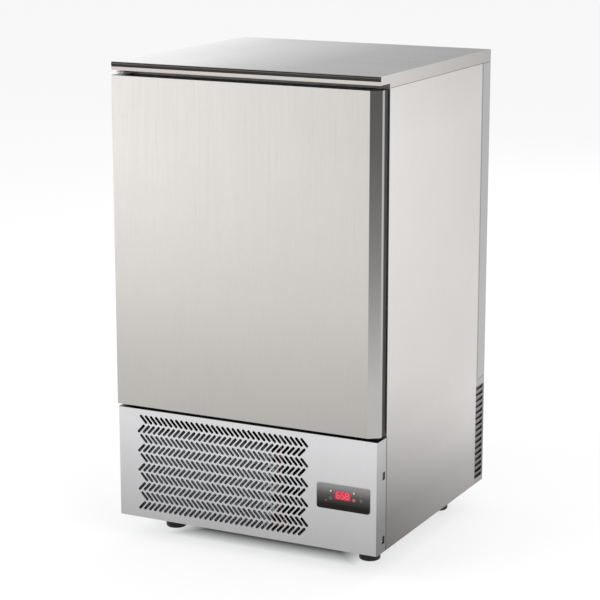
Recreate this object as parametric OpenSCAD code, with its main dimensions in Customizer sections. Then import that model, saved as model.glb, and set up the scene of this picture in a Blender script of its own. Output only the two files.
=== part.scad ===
// Blast chiller: a free-standing stainless cabinet with one insulated door over a compressor bay.
// Millimetres, +Z up, origin on the floor under the centre of the cabinet, door facing -Y.
// A "depth" is measured backwards from the front face of the door.

/* [Cabinet] */
// Width over the side panels
body_w = 750; // [720:1:820]
// Depth from the door face to the back panel
body_d = 715; // [700:1:790]
// Height of the cabinet without its feet
body_h = 1205; // [1195:1:1300]
// Height of the feet, wound fully in
foot_h = 65; // [58:1:90]
// Thickness of the stainless sheets
sheet = 1.2; // [0.8:0.1:1.5]
// Thickness of the insulated side walls
side_wall = 60; // [54:1:64]
// Thickness of the insulated back wall
back_wall = 56; // [50:1:60]
// Inner corner radius of the chamber
chamber_r = 14; // [6:1:20]

/* [Worktop] */
// Height of the front nose
nose_h = 21; // [18:0.5:24]
// Height of the plain strip under the rolled edge
nose_strip_h = 9.5; // [7:0.5:11]
// Height of the side and rear skirts
skirt_h = 32; // [28:1:36]

/* [Door] */
// Thickness of the closed door, from its face to the cabinet front
door_t = 58; // [54:1:62]
// Depth of the outer skin's side returns
door_side = 32.6; // [28:0.1:34]
// Width of the bevel on the handle side
bevel_w = 26.6; // [18:0.1:30]
// Depth of the bevel on the handle side
bevel_d = 17.8; // [12:0.1:22]
// Gap between the lower panel and the door
low_gap = 8.5; // [8:0.5:11]
// Gap between the door and the nose
top_gap = 12.5; // [11:0.5:15]
// How far the door laps over the cabinet front at the top and bottom
door_land = 42; // [41:1:50]
// Width of the gasket
gasket_w = 22; // [18:1:23]
// Distance of the gasket's middle from the door's edge
gasket_in = 27; // [27:0.5:29]
// Distance of the hinge pin from the door's edge
pivot_in = 15; // [14:0.5:15]
// Depth of the hinge pin behind the door face
pivot_depth = 28; // [24:0.5:30]
// Radius of the hinge pins
pin_r = 5; // [4:0.25:6]

/* [Lower panel] */
// Height of the lower front panel
lower_h = 298; // [292:1:310]
// How far the lower panel's face stands back from the door's face
lower_setback = 3.5; // [3.2:0.1:5]
// Spacing of the grille's columns
grille_pitch_x = 15.2; // [14:0.1:16]
// Spacing of the grille's rows
grille_pitch_z = 26.35; // [25:0.05:27]
// Length of one grille slot
slot_len = 29.6; // [24:0.1:30.5]
// Width of one grille slot
slot_w = 7.6; // [4:0.1:8.5]
// Slope of a grille slot from the horizontal
slot_angle = 47; // [44:0.5:50]

/* [Controls] */
// Width of the control bezel
bezel_w = 147; // [140:1:150]
// Height of the control bezel
bezel_h = 66; // [60:1:70]
// How far the bezel stands out of the lower panel
bezel_proud = 2.4; // [1.5:0.1:2.5]
// Radius of the round keys
key_r = 4.6; // [4:0.1:5.5]
// Travel of the keys
key_travel = 0.8; // [0.4:0.1:1]
// Width of the display window
display_w = 43; // [36:0.5:46]
// Height of the display window
display_h = 22.6; // [18:0.1:25]

/* [Louvres] */
// Spacing of the louvre slots
louvre_pitch = 17; // [15:0.5:17]
// Height of one louvre slot
louvre_h = 10.5; // [6:0.5:11]
// Length of one louvre slot
louvre_len = 50; // [30:1:52]

/* [Feet] */
// Radius of the adjustable feet
foot_r = 28; // [22:1:30]
// Height of a foot's cup
cup_h = 42; // [36:1:44]
// How far a foot can be wound out
foot_travel = 20; // [10:1:25]
// Distance of the feet from the side panels
foot_in_x = 86; // [70:1:120]
// Depth of the front feet behind the door face
foot_front = 150; // [130:1:170]
// Distance of the rear feet from the back
foot_rear = 115; // [80:1:140]

/* [Chamber fittings] */
// Spacing of the tray levels
level_pitch = 70; // [50:1:90]
// Height of the lowest tray level over the chamber's floor
level_foot = 58; // [50:1:90]
// How far a tray rests on its runner at each side
tray_lap = 16; // [12:1:18]
// Gap between the tray runners and the fan plenum
runner_gap = 17; // [10:1:30]
// Radius of an evaporator fan's opening
orifice_r = 120; // [100:1:126]
// Running gap at a fan's blade tips
tip_gap = 8; // [5:1:14]
// Spacing of the two evaporator fans
fan_pitch = 330; // [290:1:350]

/* [Compressor bay] */
// Radius of the compressor's shell
comp_r = 100; // [80:1:105]
// Height of the compressor's shell
comp_h = 196; // [170:1:205]
// Width of the condenser's fin pack
cond_w = 380; // [320:1:390]
// Height of the condenser's fin pack
cond_h = 228; // [200:1:232]
// Radius of the condenser fan's opening
cond_orifice_r = 106; // [90:1:108]
// Fins in the condenser, end plates included
cond_fins = 32; // [8:1:32]
// Fins in the evaporator, end plates included
evap_fins = 36; // [8:1:36]
// Outer radius of the coil tubes
coil_tube_r = 5; // [4:0.25:5.5]

/* [Hidden] */
// Clearance between sheets and foam that lie face to face
bond = 0.1;
// Clearance between neighbouring pieces
fit = 0.3;
// Seam between two outer sheets
seam = 1;
// Radial clearance of the hinge bushes and shafts
run = 0.05;
// Overlap used where one cut or piece has to reach past another
eps = 1;

half_w = body_w / 2;
front_y = -body_d / 2;
total_h = foot_h + body_h;
base_z = foot_h;
lower_top = base_z + lower_h;
door_z0 = lower_top + low_gap;
nose_z0 = total_h - nose_h;
door_z1 = nose_z0 - top_gap;
door_h = door_z1 - door_z0;
skirt_z = total_h - skirt_h;
side_top = skirt_z - seam;
inner_half = half_w - sheet;

// Chamber
ch_half = half_w - side_wall;
ch_z0 = door_z0 + door_land;
ch_z1 = door_z1 - door_land;
ch_h = ch_z1 - ch_z0;
ch_zc = (ch_z0 + ch_z1) / 2;
frame_ret = 16;
frame_flange = 20;
break_depth = door_t + frame_ret + bond;
break_len = 12;
break_t = 6;
liner_depth = break_depth + break_len + bond;
liner_back = body_d - back_wall;
foam_hang = 15;
foam_z0 = lower_top - foam_hang;
foam_z1 = side_top - sheet - bond;
frame_top = total_h - sheet - 7;

// Rear corner strips, whose lower end slopes up towards the back
strip_w = 52;
strip_slope = 6;
strip_z_front = lower_top + seam;
strip_z_back = strip_z_front + strip_slope;
strip_depth = body_d - strip_w;

// Rear service panel
service_setback = 6;
service_depth = body_d - service_setback - sheet;
service_z0 = base_z + 4;
service_z1 = foam_z0 - bond - sheet - fit;
service_flange = 14;
service_half = inner_half - fit;
screw_r = 2;
screw_hole = screw_r + 0.2;
screw_head_r = 4.2;
screw_head_h = 2;
screw_len = 10;
service_screw_z = [base_z + 45, (base_z + 45 + service_z1 - 12) / 2, service_z1 - 12];
bush_x = half_w - 75;
bush_z = base_z + 70;
bush_r = 8;
cord_r = 5;

// Base
pan_t = 2;
pan_lip = 14;
deck_z = base_z + pan_t;
pan_front = lower_setback + sheet + 15.5;
sleeve_r = 24;
stem_r = 8;
boss_r = stem_r + 6;
stem_top = base_z + 34;
foot_spots = [
    [-1, foot_front],
    [1, foot_front],
    [-1, body_d - foot_rear],
    [1, body_d - foot_rear]
];

// Control panel, placed from the cabinet's middle and the lower panel's bottom edge
bezel_x = half_w - 93.4;
bezel_z = base_z + 141;
bezel_r = 6;
bezel_tub = 18;
bezel_rim = 3;
bezel_face = lower_setback - bezel_proud;
display_at = [-1.1, 6.5];
key_at = [[-33.6, 16], [-33.6, -3.6], [30.6, 18], [30.6, -1]];
key_proud = 0.7;
key_gap = 0.25;
lamp_at = [[-48.1, 16], [-47.6, -10.7]];
lamp_r = 1.6;
board_depth = lower_setback + bezel_tub - 4;
board_t = 1.6;
switch_h = 4;

// Grille: as many columns and rows of slots as the panel has room for
grille_margin = 75.5;
grille_gap = 34;
grille_head = 27;
grille_foot = 32;
grille_x0 = -half_w + grille_margin;
grille_shift = -7.3;
grille_top = lower_top - grille_head;
grille_cols = 1 + floor((bezel_x - bezel_w / 2 - grille_gap - grille_x0) / grille_pitch_x);
grille_rows = 1 + floor((grille_top - grille_foot - base_z) / grille_pitch_z);

// Notches in the lower panel's side returns
return_depth = door_t - 1.5;
notch_w = 15;
notch_h = 20;
notch_z = [base_z + 33, base_z + 202];
notch_depth = return_depth - 7 - notch_w;

// Side louvres
louvre_z0 = base_z + 15.5;
louvre_head = 17.5;
louvre_end = service_depth - 2;
louvre_count = 1 + floor((strip_z_front - louvre_head - louvre_h - louvre_z0) / louvre_pitch);

// Hinges
pivot_x = -half_w + pivot_in;
pin_len = 25;
bracket_t = 3.2;
bracket_r = pivot_in - sheet - fit;
bracket_leg_t = 4;
bracket_leg_h = 32;
top_bracket_z = door_z1 + top_gap / 2 - bracket_t / 2;
low_bracket_z = door_z0 - low_gap / 2 - bracket_t / 2;
bush_wall = 3;
bush_len = 28;
flange_wall = 6;

// Door
skin_t = 1;
profile_t = 13.4;
profile_step = 4;
door_back = door_side + profile_t;
plug_depth = 7;
plug_in = 12;
profile_w = door_land + plug_in - profile_step;
gasket_d = door_t - door_back - fit;
groove_w = 5;
groove_d = 7;
pocket_r = pin_r + run + bush_wall + 0.15;

// Evaporator coil
evap_seat = 86;
evap_depth = liner_back - evap_seat;
evap_rows = 10;
evap_pitch_z = 60;
evap_pitch_y = 26;
evap_pack_d = 60;
evap_z0 = ch_zc - (evap_rows - 1) * evap_pitch_z / 2;
evap_margin = 34;
fin_t = 0.6;
plate_t = 1.5;
tube_gap = 0.1;
coil_lead = 8;

// Fan plenum, with its motors close in front of the coil
plenum_t = 1.5;
plenum_side = 45;
plenum_half = ch_half - plenum_side;
plenum_z0 = ch_z0 + 24;
plenum_z1 = ch_z1 - 24;
plenum_back = liner_back - fit;
evap_side = 65;
evap_half = plenum_half - evap_side;
fan_z = [ch_zc - fan_pitch / 2, ch_zc + fan_pitch / 2];
collar_len = 14;
motor_len = 26;
motor_cap = 4;
motor_gap = 2;
motor_r = 34;
motor_reach = 34;
motor_depth = evap_depth - motor_gap - motor_cap - motor_len;
plenum_depth = motor_depth - motor_reach;
shaft_r = 4;
wheel_t = 1.6;
wheel_in = 16;
hub_len = 24;
evap_hub_r = 28;
evap_chord = 52;
evap_blade_angle = 28;
evap_shaft = 20;
guard_gap = 5;
guard_bar = 3;
guard_rings = 6;

// Racks and runners
rack_gap = 0.5;
upright_d = 12;
upright_w = 26;
rack_face = ch_half - rack_gap - upright_d;
tray_gap = 2.5;
runner_front = 22;
runner_depth = door_t + runner_front;
runner_len = plenum_depth - runner_gap - runner_depth;
runner_t = 1.5;
runner_ledge = tray_gap + tray_lap;
runner_rise = 9;
level_head = 60;
level_z0 = ch_z0 + level_foot;
levels = 1 + floor((ch_z1 - level_head - level_z0) / level_pitch);
upright_in = 30;
upright_z0 = ch_z0 + chamber_r + 2;
upright_z1 = ch_z1 - 22;
stud_r = 4;
stud_x = rack_face - 1;
stud_low = 16;
stud_high = 22;
stud_z = [level_z0 - stud_low, level_z0 + (levels - 1) * level_pitch + runner_rise + stud_high];
stud_hole = stud_r + 0.3;

// Condenser
cond_x0 = -half_w + 38;
cond_depth = pan_front + 12;
cond_pack_d = 44;
cond_z0 = deck_z + fit;
cond_rows = 8;
cond_pitch_z = 26;
cond_pitch_y = 20;
cond_tube_z0 = cond_z0 + (cond_h - (cond_rows - 1) * cond_pitch_z) / 2;
cond_tube_depth = cond_depth + (cond_pack_d - cond_pitch_y) / 2;
cond_xc = cond_x0 + cond_w / 2;
shroud_depth = cond_depth + cond_pack_d + fit;
// The shroud ends in front of the left front foot, and is as tall as the coil or the fan
shroud_foot_gap = 13.5;
shroud_d = foot_front - boss_r - shroud_foot_gap - shroud_depth;
shroud_rim = 8;
shroud_h = max(cond_h, 2 * (cond_orifice_r + shroud_rim));
shroud_t = 1.5;
cond_fan_z = cond_z0 + shroud_h / 2;
cond_motor_gap = 8;
cond_motor_depth = shroud_depth + shroud_d + cond_motor_gap;
cond_motor_len = 52;
cond_motor_r = 42;
cond_hub_r = 30;
cond_chord = 62;
cond_blade_angle = 26;
cond_shaft = 22;

// Compressor
comp_x = 120;
comp_depth = 420;
comp_foot_x = comp_r - 5;
comp_foot_y = comp_r - 25;
comp_wall = 5;
mount_h = 16;
plate_h = 4;
comp_z0 = deck_z + mount_h + plate_h;
stub_r = 5;
stub_z = comp_z0 + comp_h * 0.72;
stub_len = 15;

// Drain and condensate tray
drain_x = -half_w + 195;
drain_back = 45;
drain_depth = liner_back - drain_back;
drain_r = 9;
tray_half_x = 80;
tray_half_d = 60;
tray_h = 34;
tray_t = 1.5;

// Receiver and drier, in front of the tray
bay_top = foam_z0 - sheet - bond;
drier_r = 16;
drier_len = 120;
drier_neck = 8;
drier_cone = 16;
drier_gap = 18.7;
drier_z = bay_top - drier_gap - drier_r;
recv_r = 42;
recv_gap = 32;
recv_stub = 10;
recv_neck = 14;
recv_rise = 30;
recv_inlet = 40;
recv_x = -half_w + 120;
recv_depth = drain_depth - tray_half_d - recv_gap - recv_r;
recv_h = drier_z - recv_rise - recv_neck - deck_z;
drier_x0 = recv_x + 90;

// Refrigerant pipes
pipe_r = 4.5;
pipe_hole = pipe_r + 1.5;
pipe_step = 20;
pipe_head = 6;
header_gap = 24;
discharge_gap = 16;
discharge_run = shroud_depth + shroud_d + 90;
liquid_run = discharge_run + 47.5;
riser_x = evap_half + coil_lead + header_gap;
liquid_y = evap_depth + (evap_pack_d - evap_pitch_y) / 2;
suction_y = liquid_y + evap_pitch_y;
suction_x = comp_x + comp_r + 60;
suction_z = stub_z + header_gap;

// Electrical box
ebox_w = 150;
ebox_d = 110;
ebox_h = 140;
ebox_setback = 69.8;
ebox_lift = 70;
ebox_x0 = half_w - ebox_w;
ebox_x1 = inner_half - bond;
ebox_depth0 = pan_front + ebox_setback;
ebox_depth1 = ebox_depth0 + ebox_d;
ebox_z0 = base_z + ebox_lift;
ebox_z1 = ebox_z0 + ebox_h;
ebox_t = 2;

steel = [0.8, 0.8, 0.79];
dull_steel = [0.68, 0.69, 0.7];
galvanised = [0.62, 0.64, 0.66];
black = [0.09, 0.09, 0.1];
copper = [0.72, 0.43, 0.28];

// ---------- Shapes that repeat ----------

// A box between two limits on each axis; y is a depth
module block(x, depth, z) {
    translate([x[0], front_y + depth[0], z[0]])
        cube([x[1] - x[0], depth[1] - depth[0], z[1] - z[0]]);
}

// A flat shape drawn as seen from the front, from one depth over a thickness
module facing(depth, thick) {
    translate([0, front_y + depth + thick, 0])
        rotate([90, 0, 0])
            linear_extrude(thick)
                children();
}

// A flat shape drawn as seen from the right, depth against height, from x over a length
module sideways(x, len) {
    translate([x, front_y, 0])
        rotate([90, 0, 90])
            linear_extrude(len)
                children();
}

// A rectangle with round corners, centred
module round_rect(w, h, r) {
    square([w - 2 * r, h], center = true);
    square([w, h - 2 * r], center = true);
    for (i = [-1, 1], j = [-1, 1])
        translate([i * (w / 2 - r), j * (h / 2 - r)])
            circle(r, $fn = 40);
}

// A cylinder along the depth axis
module y_rod(r, depth, len, x, z) {
    translate([x, front_y + depth + len, z])
        rotate([90, 0, 0])
            cylinder(h = len, r = r, $fn = 48);
}

// A cylinder along the width axis
module x_rod(r, x, len, depth, z) {
    translate([x, front_y + depth, z])
        rotate([0, 90, 0])
            cylinder(h = len, r = r, $fn = 32);
}

// A slot with round ends
module slot(len, w) {
    square([len - w, w], center = true);
    for (i = [-1, 1])
        translate([i * (len - w) / 2, 0])
            circle(w / 2, $fn = 24);
}

// A pipe through a list of [x, depth, z] points, with a brazed elbow at each corner
module pipe_run(points, r) {
    elbow = 0.7;
    for (i = [0 : len(points) - 2]) {
        from = points[i];
        run_v = points[i + 1] - from;
        run_l = norm(run_v);
        translate([from[0], front_y + from[1], from[2]])
            rotate([0, acos(run_v[2] / run_l), atan2(run_v[1], run_v[0])])
                cylinder(h = run_l, r = r, $fn = 32);
    }
    for (i = [1 : len(points) - 2])
        translate([points[i][0], front_y + points[i][1], points[i][2]])
            sphere(r + elbow, $fn = 32);
}

// A blower wheel that turns about the depth axis, drawn about the origin
module fan_wheel(hub_r, tip_r, blades, chord, blade_angle, shaft_len) {
    rotate([90, 0, 0])
        cylinder(h = hub_len, r = hub_r, center = true, $fn = 48);
    rotate([-90, 0, 0])
        cylinder(h = hub_len / 2 + shaft_len, r = shaft_r, $fn = 32);
    for (i = [0 : blades - 1])
        rotate([0, i * 360 / blades, 0])
            rotate([90 - blade_angle, 0, 0])
                linear_extrude(wheel_t, center = true)
                    intersection() {
                        circle(tip_r, $fn = 64);
                        polygon([
                            [hub_r * 0.8, -chord * 0.2],
                            [tip_r * 0.8, -chord * 0.5],
                            [tip_r * 1.05, -chord * 0.36],
                            [tip_r * 1.05, chord * 0.5],
                            [hub_r * 0.8, chord * 0.2]
                        ]);
                    }
}

// Half of a ring, for the return bend of a coil
module half_bend(bend_r, r) {
    rotate_extrude(angle = 180, $fn = 32)
        translate([bend_r, 0])
            circle(r, $fn = 24);
}

// One serpentine of coil tubes: two banks, joined at the top, both ends at the lower right
module coil_tubes(x0, x1, depth0, pitch_y, z0, pitch_z, rows, r) {
    for (bank = [0, 1], j = [0 : rows - 1])
        x_rod(r, x0, x1 - x0, depth0 + bank * pitch_y, z0 + j * pitch_z);
    for (bank = [0, 1], j = [0 : rows - 2]) {
        left = j % 2 == 0;
        translate([left ? x0 : x1, front_y + depth0 + bank * pitch_y, z0 + (j + 0.5) * pitch_z])
            rotate([90, left ? -90 : 90, 0])
                half_bend(pitch_z / 2, r);
    }
    translate([x1, front_y + depth0 + pitch_y / 2, z0 + (rows - 1) * pitch_z])
        rotate([0, 0, -90])
            half_bend(pitch_y / 2, r);
}

// The hole pattern of a fin, seen from the right
module fin_outline(depth, pack_d, z, h, depth0, pitch_y, z0, pitch_z, rows, hole_r) {
    difference() {
        translate([depth, z])
            square([pack_d, h]);
        for (bank = [0, 1], j = [0 : rows - 1])
            translate([depth0 + bank * pitch_y, z0 + j * pitch_z])
                circle(hole_r, $fn = 24);
    }
}

// ---------- Outer cabinet ----------

module nose_outline(inset) {
    bead_r = (nose_h - nose_strip_h) / 2;
    strip_back = 1.5;
    // Strip and underside
    translate([strip_back + inset, nose_z0 + inset])
        square([door_t - strip_back, nose_h - 2 * inset]);
    // Rolled edge
    translate([bead_r, total_h - bead_r])
        circle(bead_r - inset, $fn = 64);
    translate([bead_r, total_h - 2 * bead_r + inset])
        square([door_t - bead_r, 2 * (bead_r - inset)]);
}

module worktop() {
    lip_back = 26;
    color(steel)
        difference() {
            union() {
                sideways(-half_w, body_w)
                    nose_outline(0);
                block([-half_w, half_w], [door_t, body_d], [skirt_z, total_h]);
            }
            sideways(-inner_half, 2 * inner_half)
                nose_outline(sheet);
            block([-inner_half, inner_half], [lip_back, body_d - sheet], [skirt_z - eps, total_h - sheet]);
        }
}

module worktop_core() {
    color("tan")
        block([-inner_half + bond, inner_half - bond],
            [door_t + sheet + bond, body_d - sheet - bond],
            [side_top + bond, total_h - sheet - bond]);
}

// The right-hand panel; the left one mirrors it
module side_panel() {
    flange = 14;
    color(steel) {
        difference() {
            sideways(inner_half, sheet)
                difference() {
                    polygon([
                        [door_t, base_z],
                        [body_d, base_z],
                        [body_d, strip_z_back - seam],
                        [strip_depth - seam, strip_z_front - seam],
                        [strip_depth - seam, side_top],
                        [door_t, side_top]
                    ]);
                    for (i = [0 : louvre_count - 1])
                        translate([louvre_end - louvre_len / 2, louvre_z0 + louvre_h / 2 + i * louvre_pitch])
                            slot(louvre_len, louvre_h);
                }
        }
        // Folded edges: top, lower rear
        block([inner_half - flange, inner_half + sheet / 2],
            [door_t + 24, strip_depth - seam],
            [side_top - sheet, side_top]);
        difference() {
            block([inner_half - service_flange, inner_half + sheet / 2],
                [service_depth - sheet - bond, service_depth - bond],
                [service_z0, service_z1]);
            for (z = service_screw_z)
                y_rod(screw_hole, service_depth - 3 * sheet, 4 * sheet, service_half - 7, z);
        }
    }
}

module side_panel_right() {
    side_panel();
}

module side_panel_left() {
    mirror([1, 0, 0])
        side_panel();
}

module back_panel() {
    color(galvanised)
        difference() {
            sideways(-half_w, body_w)
                polygon([
                    [strip_depth, strip_z_front],
                    [body_d, strip_z_back],
                    [body_d, side_top],
                    [strip_depth, side_top]
                ]);
            block([-inner_half, inner_half], [strip_depth - eps, body_d - sheet],
                [base_z, side_top + eps]);
        }
    // The back sheet reaches down between the side panels, over the foam's lower edge
    color(galvanised)
        block([-service_half, service_half], [body_d - sheet, body_d], [bay_top, strip_z_back + eps]);
}

module rear_service_panel() {
    vent_w = 110;
    vent_h = 8;
    vent_pitch_z = 18;
    vent_rows = 9;
    color(galvanised)
        facing(service_depth, sheet)
            difference() {
                translate([-service_half, service_z0])
                    square([2 * service_half, service_z1 - service_z0]);
                for (i = [-1 : 1], j = [0 : vent_rows - 1])
                    translate([i * (vent_w + 30) - 60, service_z1 - 50 - j * vent_pitch_z])
                        slot(vent_w, vent_h);
                translate([bush_x, bush_z])
                    circle(bush_r + bond, $fn = 48);
                for (s = [-1, 1], z = service_screw_z)
                    translate([s * (service_half - 7), z])
                        circle(screw_hole, $fn = 32);
            }
}

module base_frame() {
    pan_half = inner_half - bond;
    pan_back = service_depth - sheet - 2 * bond;
    rail_w = 40;
    rail_h = 12;
    color(galvanised)
        difference() {
            union() {
                difference() {
                    block([-pan_half, pan_half], [pan_front, pan_back], [base_z, base_z + pan_lip]);
                    block([-pan_half + pan_t, pan_half - pan_t],
                        [pan_front + pan_t, pan_back - pan_t],
                        [deck_z, base_z + pan_lip + eps]);
                }
                // Boss over each foot
                for (spot = foot_spots)
                    translate([spot[0] * (half_w - foot_in_x), front_y + spot[1], base_z])
                        cylinder(h = stem_top - base_z + 2, r = boss_r, $fn = 48);
            }
            for (spot = foot_spots)
                translate([spot[0] * (half_w - foot_in_x), front_y + spot[1], base_z - eps])
                    cylinder(h = stem_top - base_z + 2 * eps + 4, r = stem_r + run, $fn = 48);
            // Air slots under the bay
            for (i = [-3 : 3])
                translate([i * 60, front_y + body_d / 2 - 40, base_z - eps])
                    linear_extrude(pan_t + 2 * eps)
                        rotate(90)
                            slot(90, 10);
        }
}

// ---------- Feet ----------

module foot(i) {
    edge_r = 5;
    color(black)
        translate([foot_spots[i][0] * (half_w - foot_in_x), front_y + foot_spots[i][1], 0]) {
            rotate_extrude($fn = 64)
                difference() {
                    union() {
                        translate([0, edge_r])
                            square([foot_r, cup_h - edge_r]);
                        square([foot_r - edge_r, cup_h]);
                        translate([foot_r - edge_r, edge_r])
                            circle(edge_r, $fn = 32);
                    }
                    translate([-2 * foot_r, 0])
                        square([2 * foot_r, cup_h]);
                }
            cylinder(h = stem_top, r = stem_r, $fn = 48);
        }
}

module foot_front_left() {
    foot(0);
}

module foot_front_right() {
    foot(1);
}

module foot_rear_left() {
    foot(2);
}

module foot_rear_right() {
    foot(3);
}

module foot_sleeves() {
    color(black)
        for (spot = foot_spots)
            translate([spot[0] * (half_w - foot_in_x), front_y + spot[1], cup_h + fit])
                difference() {
                    union() {
                        cylinder(h = base_z - cup_h - fit - bond, r = sleeve_r, $fn = 64);
                        translate([0, 0, base_z - cup_h - fit - bond - 4])
                            cylinder(h = 4, r = sleeve_r + 8, $fn = 64);
                    }
                    translate([0, 0, -eps])
                        cylinder(h = base_z, r = stem_r + run, $fn = 48);
                }
}

// ---------- Insulated body ----------

module front_frame() {
    frame_half = inner_half - bond;
    color(steel)
        difference() {
            union() {
                block([-frame_half, frame_half], [door_t, door_t + sheet], [foam_z0, frame_top]);
                // Outer edge folds back inside the side panels
                for (s = [-1, 1])
                    block([s > 0 ? frame_half - sheet : -frame_half, s > 0 ? frame_half : sheet - frame_half],
                        [door_t, door_t + frame_flange], [foam_z0, side_top - sheet - bond]);
                // Inner edge folds back into the chamber
                facing(door_t, frame_ret)
                    translate([0, ch_zc])
                        round_rect(2 * ch_half + 2 * sheet, ch_h + 2 * sheet, chamber_r + sheet);
            }
            facing(door_t - eps, frame_ret + 2 * eps)
                translate([0, ch_zc])
                    round_rect(2 * ch_half, ch_h, chamber_r);
        }
}

module thermal_break() {
    color(black)
        facing(break_depth, break_len)
            translate([0, ch_zc])
                difference() {
                    round_rect(2 * (ch_half + break_t), ch_h + 2 * break_t, chamber_r + break_t);
                    round_rect(2 * ch_half, ch_h, chamber_r);
                }
}

// The welded studs that the racks hang on
module liner_studs() {
    for (s = [-1, 1], i = [0, 1], z = stud_z)
        x_rod(stud_r, s > 0 ? stud_x : -ch_half - sheet / 2, ch_half + sheet / 2 - stud_x,
            upright_depth(i), z);
}

module inner_liner() {
    color(steel)
        difference() {
            union() {
                facing(liner_depth, liner_back + sheet - liner_depth)
                    translate([0, ch_zc])
                        round_rect(2 * ch_half + 2 * sheet, ch_h + 2 * sheet, chamber_r + sheet);
            }
            facing(liner_depth - eps, liner_back - liner_depth + eps)
                translate([0, ch_zc])
                    round_rect(2 * ch_half, ch_h, chamber_r);
            // Drain and pipe holes in the floor
            translate([drain_x, front_y + drain_depth, ch_z0 - 2 * sheet])
                cylinder(h = 4 * sheet, r = drain_r + bond, $fn = 48);
            for (y = [liquid_y, suction_y])
                translate([riser_x, front_y + y, ch_z0 - 2 * sheet])
                    cylinder(h = 4 * sheet, r = pipe_hole, $fn = 32);
        }
    color(steel)
        liner_studs();
}

module insulation_foam() {
    wide = inner_half - bond;
    narrow = inner_half - 2 * bond - sheet;
    color("khaki")
        difference() {
            union() {
                block([-wide, wide],
                    [door_t + frame_flange + bond, body_d - sheet - bond], [foam_z0, foam_z1]);
                block([-narrow + bond, narrow - bond],
                    [door_t + sheet + bond, door_t + frame_flange + eps], [foam_z0, foam_z1]);
            }
            facing(door_t, liner_depth - bond - door_t)
                translate([0, ch_zc])
                    round_rect(2 * (ch_half + break_t + bond), ch_h + 2 * (break_t + bond),
                        chamber_r + break_t);
            facing(liner_depth - 2 * bond, liner_back + sheet + bond - liner_depth + 2 * bond)
                translate([0, ch_zc])
                    round_rect(2 * (ch_half + sheet + bond), ch_h + 2 * (sheet + bond),
                        chamber_r + sheet);
            translate([drain_x, front_y + drain_depth, foam_z0 - eps])
                cylinder(h = ch_z0 - foam_z0, r = drain_r + bond, $fn = 48);
            for (y = [liquid_y, suction_y])
                translate([riser_x, front_y + y, foam_z0 - eps])
                    cylinder(h = ch_z0 - foam_z0, r = pipe_hole, $fn = 32);
        }
}

module cabinet_underpan() {
    wide = inner_half - bond;
    color(galvanised)
        difference() {
            block([-wide, wide], [door_t + sheet + bond, body_d - sheet - bond], [bay_top, foam_z0 - bond]);
            translate([drain_x, front_y + drain_depth, foam_z0 - 2 * sheet])
                cylinder(h = 3 * sheet, r = drain_r + bond, $fn = 48);
            for (y = [liquid_y, suction_y])
                translate([riser_x, front_y + y, foam_z0 - 2 * sheet])
                    cylinder(h = 3 * sheet, r = pipe_hole, $fn = 32);
        }
}

// ---------- Lower front panel and controls ----------

// Plan of a folded panel: a face with two returns and round front corners
module fold_plan(w, depth, d, r) {
    translate([-w / 2, depth + r])
        square([w, d - r]);
    translate([-w / 2 + r, depth])
        square([w - 2 * r, d]);
    for (s = [-1, 1])
        translate([s * (w / 2 - r), depth + r])
            circle(r, $fn = 32);
}

module herringbone() {
    for (row = [0 : grille_rows - 1], col = [0 : grille_cols - 1])
        translate([grille_x0 + col * grille_pitch_x + (row % 2) * grille_shift,
            grille_top - row * grille_pitch_z])
            rotate(row % 2 == 0 ? -slot_angle : slot_angle)
                slot(slot_len, slot_w);
}

module lower_front_panel() {
    corner_r = 2.4;
    flange = 20;
    run_d = return_depth - lower_setback;
    color(dull_steel)
        difference() {
            translate([0, front_y, base_z])
                linear_extrude(lower_h)
                    fold_plan(body_w, lower_setback, run_d, corner_r);
            translate([0, front_y, base_z + sheet])
                linear_extrude(lower_h - 2 * sheet)
                    fold_plan(2 * inner_half, lower_setback + sheet, run_d, corner_r - sheet);
            // The folded edges at the top and bottom end behind the face
            block([-inner_half, inner_half], [lower_setback + flange, body_d],
                [lower_top - 2 * sheet, lower_top + eps]);
            block([-inner_half, inner_half], [pan_front - fit, body_d],
                [base_z - eps, base_z + 2 * sheet]);
            facing(lower_setback - eps, sheet + 2 * eps)
                union() {
                    herringbone();
                    translate([bezel_x, bezel_z])
                        round_rect(bezel_w - 2 * bezel_rim, bezel_h - 2 * bezel_rim, bezel_r - bezel_rim);
                }
            for (z = notch_z)
                block([inner_half - eps, half_w + eps], [notch_depth, notch_depth + notch_w],
                    [z - notch_h / 2, z + notch_h / 2]);
        }
}

module bezel_openings() {
    translate(display_at)
        square([display_w, display_h], center = true);
    for (spot = key_at)
        translate(spot)
            circle(key_r + key_gap, $fn = 40);
    for (spot = lamp_at)
        translate(spot)
            circle(lamp_r + bond, $fn = 24);
}

module control_bezel() {
    face_t = bezel_proud;
    tub_w = bezel_w - 2 * bezel_rim - 2 * fit;
    tub_h = bezel_h - 2 * bezel_rim - 2 * fit;
    tub_t = 2;
    color(black)
        translate([bezel_x, 0, bezel_z]) {
            facing(bezel_face, face_t - bond)
                difference() {
                    round_rect(bezel_w, bezel_h, bezel_r);
                    bezel_openings();
                }
            facing(bezel_face + eps, bezel_proud + bezel_tub - eps)
                difference() {
                    round_rect(tub_w, tub_h, bezel_r - bezel_rim - fit);
                    square([tub_w - 2 * tub_t, tub_h - 2 * tub_t], center = true);
                }
        }
}

module display_window() {
    lens_t = bezel_proud;
    color("darkred")
        facing(bezel_face + 0.3, lens_t)
            translate([bezel_x + display_at[0], bezel_z + display_at[1]])
                square([display_w - 2 * bond, display_h - 2 * bond], center = true);
}

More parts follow.
